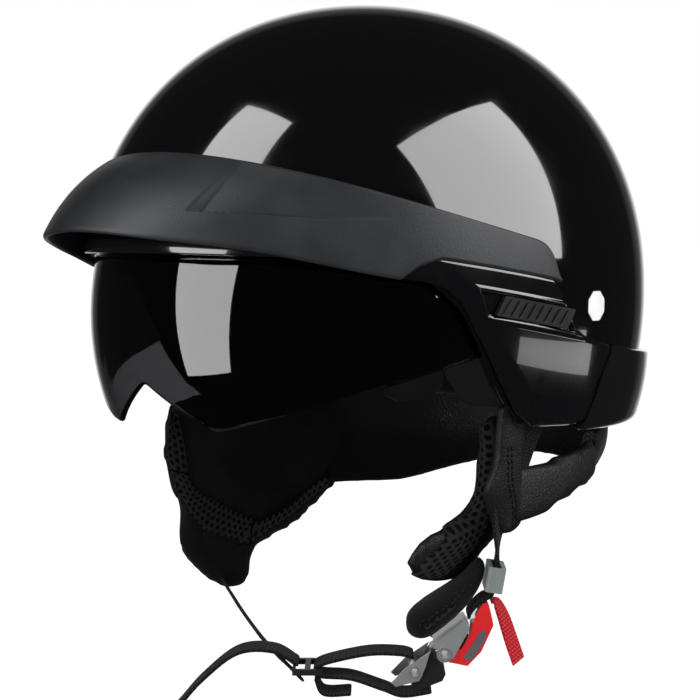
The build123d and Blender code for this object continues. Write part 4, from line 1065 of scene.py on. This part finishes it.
curtain = {
    # height, half width and half length of the ring
    "rows": [(-51.5, 102.5, 124.0), (-60, 103.0, 126.0), (-75.6, 101.0, 124.0), (-88.2, 95.5, 115.5),
             (-99.0, 88.5, 104.5)],
    # upper and lower edge: azimuth in degrees and height
    "top": [(118.0, -67.5), (135.0, -65.0), (150.0, -60.5), (180.0, -59.8), (210.0, -57.5), (244.0, -53.0)],
    "low": [(118.0, -87.0), (135.0, -86.0), (150.0, -83.0), (180.0, -82.0), (200.0, -89.0), (220.0, -98.5),
            (244.0, -98.5)],
    "window": 9.0, "start": 118, "end": 244, "columns": 280, "across": 44, "samples": 80, "rounding": 4,
    "thick": 6.5, "inset": 1.6, "pleats": 52, "pleatDepth": 1.3, "pleatFrom": 132, "pleatOver": 12, "pleatPower": 0.5,
    "piping": {"inset": 5, "drop": 0.4, "every": 20, "radius": 1.6, "samples": 300, "count": 200, "close": 0.02,
               "power": 2.0, "around": 14, "lean": (0.3, 0.2, 1.0)},
}


def makePiping(points):
    # a round bead along a smooth path, closed at its ends
    piping = curtain["piping"]
    path = evenly(spline(points, piping["samples"]), piping["count"])
    run = unit(np.gradient(path, axis=0))
    side = unit(np.cross(run, np.array(piping["lean"])))
    over = np.cross(side, run)
    size = piping["radius"] * closing(np.linspace(0, 1, piping["count"]), piping["close"], piping["close"])[:, None]
    grid = softLoop(path, side * size, over * size, piping["power"], piping["around"])
    addPiece("curtainPiping", [grid], "curtain_black", "helmet")


def makeCurtain():
    # a tapering ring behind the ears; its pleats are |sin(pleats * azimuth / 2)| ^ power deep
    rows = spline(curtain["rows"], curtain["samples"])
    azimuth = np.linspace(math.radians(curtain["start"]), math.radians(curtain["end"]), curtain["columns"])
    degrees = np.degrees(azimuth)
    top, low = (np.interp(degrees, *smoothLine(curtain[line], curtain["window"])) for line in ("top", "low"))
    share = np.linspace(0, 1, curtain["across"])[:, None]
    z = top + (low - top) * share
    across, length = (np.interp(-z, -rows[:, 0], rows[:, k]) for k in (1, 2))
    rear = clamp((degrees - curtain["pleatFrom"]) / curtain["pleatOver"])
    folds = np.abs(np.sin(curtain["pleats"] * azimuth / 2)) ** curtain["pleatPower"]
    pleat = curtain["pleatDepth"] * rear * folds * np.sin(math.pi * share) ** curtain["pleatPower"]

    def face(offset):
        return np.stack([(across + offset) * np.sin(azimuth), -(length + offset) * np.cos(azimuth), z], -1)

    outer = face(pleat - curtain["inset"])
    inner = face(-curtain["thick"] - curtain["inset"] + 0 * pleat)
    grid = shellLoop(outer.transpose(1, 0, 2), inner.transpose(1, 0, 2), curtain["rounding"])
    piece = addPiece("napeCurtain", [grid], "curtain_black", "helmet", ["nape_curtain"], caps=True)
    inset, drop = curtain["piping"]["inset"], curtain["piping"]["drop"]
    edge = np.stack([(across[-1] - inset) * np.sin(azimuth), -(length[-1] - inset) * np.cos(azimuth),
                     z[-1] - drop], -1)
    makePiping(edge[::curtain["piping"]["every"]])


# Pads of the liner

liner = {"halfWidth": 87.0, "halfLength": 108.0, "halfHeight": 101.5}
linerPad = {
    "rows": 50, "columns": 90, "thick": 4.6, "under": 1.0, "gap": 0.4, "channelDepth": 0.28, "channelWide": 0.03,
    "roundPower": 10, "bowSides": 0.05, "bowEnds": 0.06, "bowPower": 4, "rounding": 3, "cap": 0.8, "voxel": 3.6,
    # node, azimuths in degrees and heights between which each pad lies
    "pads": {
        "browPad": ("brow_pad", -64, 64, 21.5, 46.0), "sidePadLeft": ("side_pad_left", 65, 112, -45.0, 19.0),
        "sidePadRight": ("side_pad_right", 248, 295, -45.0, 19.0), "napePad": ("nape_pad", 118, 242, -47.0, 5.0),
    },
}
crownPad = {
    "rows": 40, "columns": 160, "middle": 0.02, "top": 100.0, "drop": 33.0, "thick": 4.6, "under": 1.0, "gap": 0.5,
    "channelDepth": 0.3, "channelWide": 0.05, "roundPower": 8,
    "innerTop": 99.0, "flatFrom": 93.0, "flatOver": 7, "flat": 0.7,  # the inner face is flattened near its middle
}


def linerPoint(azimuth, z, depth):
    # a place on the liner's inner face, a depth below it
    wide, length, high = (liner[key] - depth for key in ("halfWidth", "halfLength", "halfHeight"))
    ring = superRing(z, high)
    return np.stack([wide * ring * np.sin(azimuth), -length * ring * np.cos(azimuth), z + 0 * azimuth], -1)


def makeLinerPad(name, node, start, end, low, high):
    # a thin cushion on the liner, u and v from -1 to 1: thick * sqrt(1 - max(|u|, |v|)^10), less a sewn channel
    u, v = np.linspace(-1, 1, linerPad["columns"])[None, :], np.linspace(-1, 1, linerPad["rows"])[:, None]
    # each edge bows in towards its ends
    bow = linerPad["bowPower"]
    azimuth = np.radians((start + end) / 2 + (end - start) / 2 * u * (1 - linerPad["bowSides"] * v ** bow))
    z = (low + high) / 2 + (high - low) / 2 * v * (1 - linerPad["bowEnds"] * u ** bow)
    rounded = np.sqrt(clamp(1 - np.maximum(np.abs(u), np.abs(v)) ** linerPad["roundPower"]))
    channel = 1 - linerPad["channelDepth"] * np.exp(-(u / linerPad["channelWide"]) ** 2)
    swelling = linerPad["thick"] * rounded * channel
    outer = linerPoint(azimuth, z, linerPad["under"] + 0 * z)
    inner = linerPoint(azimuth, z, linerPad["under"] + linerPad["gap"] + swelling)
    grid = shellLoop(outer, inner, linerPad["rounding"])
    piece = addPiece(name, [grid], "lining_black", "helmet", [node], caps=True)
    swell(piece, linerPad["cap"], linerPad["voxel"])


def makeCrownPad():
    # a round cushion under the crown: rings about the upright axis, with four sewn channels from its middle
    share = np.linspace(crownPad["middle"], 1, crownPad["rows"])[:, None]
    azimuth = np.linspace(0, 2 * math.pi, crownPad["columns"])[None, :]
    z = crownPad["top"] - crownPad["drop"] * share ** 2
    channel = np.exp(-(np.sin(2 * azimuth) * share / crownPad["channelWide"]) ** 2)
    rounded = np.sqrt(clamp(1 - share ** crownPad["roundPower"]))
    swelling = crownPad["thick"] * rounded * (1 - crownPad["channelDepth"] * channel)
    outer = linerPoint(azimuth, z, crownPad["under"] + 0 * z)
    inner = linerPoint(azimuth, np.minimum(z, crownPad["innerTop"]), crownPad["under"] + crownPad["gap"] + swelling)
    inner[..., 2] -= np.clip(z - crownPad["flatFrom"], 0, crownPad["flatOver"]) * crownPad["flat"]
    apexes = [face[:1].mean(1, keepdims=True) + np.zeros((1, crownPad["columns"], 1)) for face in (outer, inner)]
    grid = np.concatenate([apexes[0], outer, inner[::-1], apexes[1]])
    piece = addPiece("crownPad", [grid], "lining_black", "helmet", ["crown_pad"])
    swell(piece, linerPad["cap"], linerPad["voxel"])


# Chin strap. Places in the buckle's plane are shares of size, across the photograph's view and up.

buckle = {"place": (74.1, -26.93, -155.76), "turn": 46.0, "size": 18.5}
outWay = np.array([math.sin(math.radians(buckle["turn"])), -math.cos(math.radians(buckle["turn"])), 0.0])
webbing = {"half": 10.0, "thick": 0.8, "samples": 500, "count": 140, "ends": 0.015, "power": 7.0, "around": 40}
straps = {
    # X, Y, Z and the turn of the width: from the anchor through the sleeve, and then in the buckle's plane
    "leftUpper": [(107.5, 6.3, -30.4, 0), (106.8, 5.0, -38.3, 0), (103.0, -6.0, -58.1, 0), (99.5, -11.5, -77.9, 4),
                  (95.5, -12.5, -95.0, 20), (92.2, -11.5, -109.0, 40)],
    "leftLower": [(1.25, 2.08), (1.13, 1.42), (0.90, 1.26), (0.74, 1.12), (0.61, 0.96), (0.56, 0.80)],
    "leftCount": 200,
    # from the right flap's tip to the slide, its width turned towards a far place in front
    "right": [(-82.5, -18.5, -150.0, 0), (-45.0, -38.5, -156.5, 0), (-8.0, -58.0, -161.0, 0),
              (26.9, -75.9, -163.5, 0)],
    "rightFaces": (718.0, -693.0, 33.0),
    "loop": [(-0.30, -0.93), (-0.98, -1.02), (-1.45, -0.87), (-2.20, -0.62), (-2.90, -0.56), (-3.06, -0.42),
             (-2.90, -0.28), (-2.30, -0.12), (-1.66, -0.02), (-1.00, -0.04), (-0.72, -0.12)],
    "loopCount": 220,
    "tail": [(-3.45, -0.30), (-4.05, 0.03), (-4.90, -0.02), (-5.75, -0.68), (-6.45, -1.45), (-7.2, -1.95)],
    "under": [(-3.05, -0.62), (-2.85, -0.98), (-2.20, -0.98)],
    "underCount": 40,
    "ribbon": [(1.10, 1.18), (1.25, 1.12), (1.42, 0.76), (1.60, 0.22), (1.78, -0.30)],
    "ribbonTurns": [46, 30, 20, 16, 16], "ribbonHalf": 5.6, "ribbonThick": 0.7, "ribbonEnds": 0.02,
}
chinPad = {
    # across, up, half thickness and half width of the sleeve's rows, in the buckle's plane
    "rows": [(16.8, 41.0, 2.6, 8), (12.2, 31.5, 4.6, 11), (4.5, 23.4, 6.4, 14), (-4.5, 16.6, 7.3, 15),
             (-11.8, 11.0, 6.9, 14), (-16.5, 8.2, 4.6, 9)],
    "samples": 90, "closeTop": 0.08, "closeLow": 0.16, "leastWidth": 0.4, "power": 2.5, "around": 90,
    "cap": 1.4, "voxel": 3.6,
    "seam": [(-13.5, 14.6), (-4.0, 20.4), (5.0, 26.0), (11.5, 33.0)],
    "meshLow": [(-8.0, 7.5), (0.0, 13.0), (8.0, 20.5)], "meshHigh": [(-9.5, 11.5), (-1.0, 17.0), (6.5, 23.5)],
    "meshGrid": (60, 24), "meshLift": 0.4, "meshThick": 0.8, "reach": 24.0,
}


def inPlane(across, up, out=0.0):
    # places of the buckle's own plane: across the photograph's view, up, and out towards the viewer
    turn = math.radians(buckle["turn"])
    across, up, out = np.broadcast_arrays(np.asarray(across, float), np.asarray(up, float), np.asarray(out, float))
    return np.stack([buckle["place"][0] + across * math.cos(turn) + out * math.sin(turn),
                     buckle["place"][1] + across * math.sin(turn) - out * math.cos(turn),
                     buckle["place"][2] + up], -1)


def planePlaces(shares, turns=None):
    # shares of the buckle's size as places, with the turn of the width as a fourth column
    points = np.array(shares, float) * buckle["size"]
    turns = [buckle["turn"]] * len(shares) if turns is None else turns
    return np.concatenate([inPlane(points[:, 0], points[:, 1]), np.array(turns, float)[:, None]], 1)


def makeWebbing(name, places, body, node=(), slot="webbing_black", faces=None, half=webbing["half"],
                thick=webbing["thick"], count=webbing["count"], ends=webbing["ends"]):
    # flat webbing along a path; the fourth number of a place turns its width about the upright axis
    rows = evenly(spline(places, webbing["samples"]), count)
    path, turn = rows[:, :3], np.radians(rows[:, 3])
    run = unit(np.gradient(path, axis=0))
    wide = np.stack([np.sin(turn), -np.cos(turn), 0 * turn], -1) if faces is None else unit(np.array(faces) - path)
    wide = unit(wide - run * (wide * run).sum(1, keepdims=True))
    over = np.cross(run, wide)
    close = closing(np.linspace(0, 1, count), ends, ends)[:, None]
    grid = softLoop(path, wide * half, over * thick * close, webbing["power"], webbing["around"])
    return addPiece(name, [grid], slot, body, node, caps=True), path


def makeStraps():
    # webbing from the left anchor to the buckle, from the right flap to the slide, and the loop and tail between
    left = np.concatenate([straps["leftUpper"], planePlaces(straps["leftLower"])])
    makeWebbing("strapLeft", left, "helmet", ["strap_left"], count=straps["leftCount"])
    strap, path = makeWebbing("strapRight", straps["right"], None, ["strap_right"], faces=straps["rightFaces"])
    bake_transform(strap)
    makeWebbing("strapLoop", planePlaces(straps["loop"]), "tongue", ["strap_loop"], count=straps["loopCount"])
    makeWebbing("strapTail", planePlaces(straps["tail"]), "tongue", ["strap_tail"])
    makeWebbing("strapUnder", planePlaces(straps["under"]), "tongue", count=straps["underCount"])
    ribbon = planePlaces(straps["ribbon"], straps["ribbonTurns"])
    makeWebbing("pullRibbon", ribbon, "lever", ["pull_ribbon"], "ribbon_red", half=straps["ribbonHalf"],
                thick=straps["ribbonThick"], ends=straps["ribbonEnds"])


def makeChinPad():
    # a banana-shaped sleeve: rounded sections across its middle line, with a seam and a strip of mesh cloth
    rows = spline(chinPad["rows"], chinPad["samples"])
    path = inPlane(rows[:, 0], rows[:, 1])
    run = unit(np.gradient(path, axis=0))
    over = unit(np.cross(run, outWay))
    close = closing(np.linspace(0, 1, chinPad["samples"]), chinPad["closeTop"], chinPad["closeLow"])[:, None]
    least = chinPad["leastWidth"]
    grid = softLoop(path, outWay * rows[:, 3:4] * (least + (1 - least) * close), over * rows[:, 2:3] * close,
                    chinPad["power"], chinPad["around"])
    piece = addPiece("chinPad", [grid], "pad_black", "helmet", ["chin_pad"])
    swell(piece, chinPad["cap"], chinPad["voxel"])
    seam, low, high = (inPlane(*zip(*chinPad[line]), chinPad["reach"]) for line in ("seam", "meshLow", "meshHigh"))
    stitchRow("padSeam", seam, piece, "webbing_black", padStitch)
    layOn("padMesh", between(low, high, *chinPad["meshGrid"]), piece, chinPad["meshLift"], chinPad["meshThick"])


makeRightFlap()
makeLeftFlap()
makeFlapBand()
print("ear flaps made")
makeCurtain()
makeCrownPad()
for name, settings in linerPad["pads"].items():
    makeLinerPad(name, *settings)
print("liner pads made")
makeStraps()
makeChinPad()
print("chin strap made")

# carried-over pieces take the finish of their own slot
for name, node in frame["nodes"].items():
    slotName = next(entry["material_slot"] for entry in frame["record"]["subparts"] if entry["node"] == name)
    node.data.materials.clear()
    node.data.materials.append(materials[slotName])
print("finishes of the carried-over pieces set")


# Floor, light and camera

view = {"azimuth": 46.0, "elevation": 3.5, "distance": 1.0, "target": (0, 0, -0.0282), "focal": 2125.0, "shift": 21.0,
        "sensor": 36.0, "pixels": 700}
studioFloor = {"level": -0.212, "size": 12.0, "color": (0.86, 0.86, 0.86, 1), "glow": 1.2, "seenShare": 0.8}
# how bright the gloss is by the direction's cosine with the way behind the object, and the even light
studio = {"behind": [(0.80, 0.012), (0.90, 0.10), (0.985, 0.95)], "ambient": 0.40}
# azimuth and elevation in degrees; distance, width and height in metres; radiance
softBoxes = {
    "tallBoxLeft": (-8, 22, 1.7, 0.95, 3.2, 3.5),
    "wideBoxRight": (116, 30, 1.7, 1.45, 1.5, 3.2),
    "lowStripRight": (134, -11, 1.8, 1.05, 0.16, 1.3),
}


def wayTo(azimuth, elevation):
    # the direction from the object at an azimuth and an elevation in degrees
    a, e = math.radians(azimuth), math.radians(elevation)
    return Vector((math.sin(a) * math.cos(e), -math.cos(a) * math.cos(e), math.sin(e)))


def makeFloor():
    # a pale square: diffuse light plus a glow that only the camera sees, clear to gloss
    mesh = bpy.data.meshes.new("studioFloor")
    size, level = studioFloor["size"], studioFloor["level"]
    corners = [(-size, -size, level), (size, -size, level), (size, size, level), (-size, size, level)]
    mesh.from_pydata(corners, [], [(0, 1, 2, 3)])
    floor = bpy.data.objects.new("studioFloor", mesh)
    scene.collection.objects.link(floor)
    material = bpy.data.materials.new("studioFloor")
    material.use_nodes = True
    tree = material.node_tree
    tree.nodes.clear()
    out = tree.nodes.new("ShaderNodeOutputMaterial")
    diffuse = tree.nodes.new("ShaderNodeBsdfDiffuse")
    diffuse.inputs["Color"].default_value = studioFloor["color"]
    glow = tree.nodes.new("ShaderNodeEmission")
    path = tree.nodes.new("ShaderNodeLightPath")
    direct = addMath(tree, "MAXIMUM", path.outputs["Is Camera Ray"], path.outputs["Is Transmission Ray"])
    glow.inputs["Strength"].default_value = studioFloor["glow"]
    seen = addMath(tree, "MULTIPLY", direct, studioFloor["seenShare"])
    mix = tree.nodes.new("ShaderNodeMixShader")
    tree.links.new(seen, mix.inputs["Fac"])
    tree.links.new(diffuse.outputs["BSDF"], mix.inputs[1])
    tree.links.new(glow.outputs["Emission"], mix.inputs[2])
    # gloss looks through the floor, so that polished faces show the lights and not the pale floor
    clear = tree.nodes.new("ShaderNodeBsdfTransparent")
    through = tree.nodes.new("ShaderNodeMixShader")
    tree.links.new(path.outputs["Is Glossy Ray"], through.inputs["Fac"])
    tree.links.new(mix.outputs["Shader"], through.inputs[1])
    tree.links.new(clear.outputs["BSDF"], through.inputs[2])
    tree.links.new(through.outputs["Shader"], out.inputs["Surface"])
    mesh.materials.append(material)


def makeWorld():
    # white where the camera looks; in gloss it is white behind the object and dark in front of it
    world = bpy.data.worlds.new("studio")
    scene.world = world
    world.use_nodes = True
    tree = world.node_tree
    tree.nodes.clear()
    out = tree.nodes.new("ShaderNodeOutputWorld")
    background = tree.nodes.new("ShaderNodeBackground")
    path = tree.nodes.new("ShaderNodeLightPath")
    place = tree.nodes.new("ShaderNodeTexCoord").outputs["Generated"]
    dot = tree.nodes.new("ShaderNodeVectorMath")
    dot.operation = "DOT_PRODUCT"
    turn = math.radians(view["azimuth"])
    dot.inputs[1].default_value = (-math.sin(turn), math.cos(turn), 0.0)
    tree.links.new(place, dot.inputs[0])
    behind = addRamp(tree, dot.outputs["Value"], studio["behind"])
    polished = addMath(tree, "MAXIMUM", path.outputs["Is Glossy Ray"], path.outputs["Is Transmission Ray"])
    reflected = addMath(tree, "MULTIPLY", behind, polished)
    ambient = addMath(tree, "MULTIPLY", path.outputs["Is Diffuse Ray"], studio["ambient"])
    strength = addMath(tree, "ADD", addMath(tree, "ADD", reflected, ambient), path.outputs["Is Camera Ray"])
    background.inputs["Color"].default_value = (1, 1, 1, 1)
    tree.links.new(strength, background.inputs["Strength"])
    tree.links.new(background.outputs["Background"], out.inputs["Surface"])


def softBox(name, azimuth, elevation, distance, width, height, radiance):
    # an area light in a direction from the object, turned to face it; its energy is radiance * pi * area
    light = bpy.data.lights.new(name, "AREA")
    light.shape = "RECTANGLE"
    light.size, light.size_y = width, height
    light.energy = radiance * math.pi * width * height
    lamp = bpy.data.objects.new(name, light)
    way = wayTo(azimuth, elevation)
    lamp.location = way * distance
    lamp.rotation_mode = "QUATERNION"
    lamp.rotation_quaternion = way.to_track_quat("Z", "Y")
    scene.collection.objects.link(lamp)


def makeCamera():
    # the photograph's view: focal length and shift are in pixels of its frame
    data = bpy.data.cameras.new("photographView")
    data.sensor_width = view["sensor"]
    data.lens = view["focal"] * view["sensor"] / view["pixels"]
    data.shift_x = -view["shift"] / view["pixels"]
    camera = bpy.data.objects.new("photographView", data)
    back = wayTo(view["azimuth"], view["elevation"])
    camera.location = Vector(view["target"]) + back * view["distance"]
    camera.rotation_mode = "QUATERNION"
    camera.rotation_quaternion = (-back).to_track_quat("-Z", "Y")
    scene.collection.objects.link(camera)
    scene.camera = camera


makeFloor()
makeWorld()
for name, settings in softBoxes.items():
    softBox(name, *settings)
makeCamera()
scene.view_settings.view_transform = "Standard"
print("floor, light and camera set")
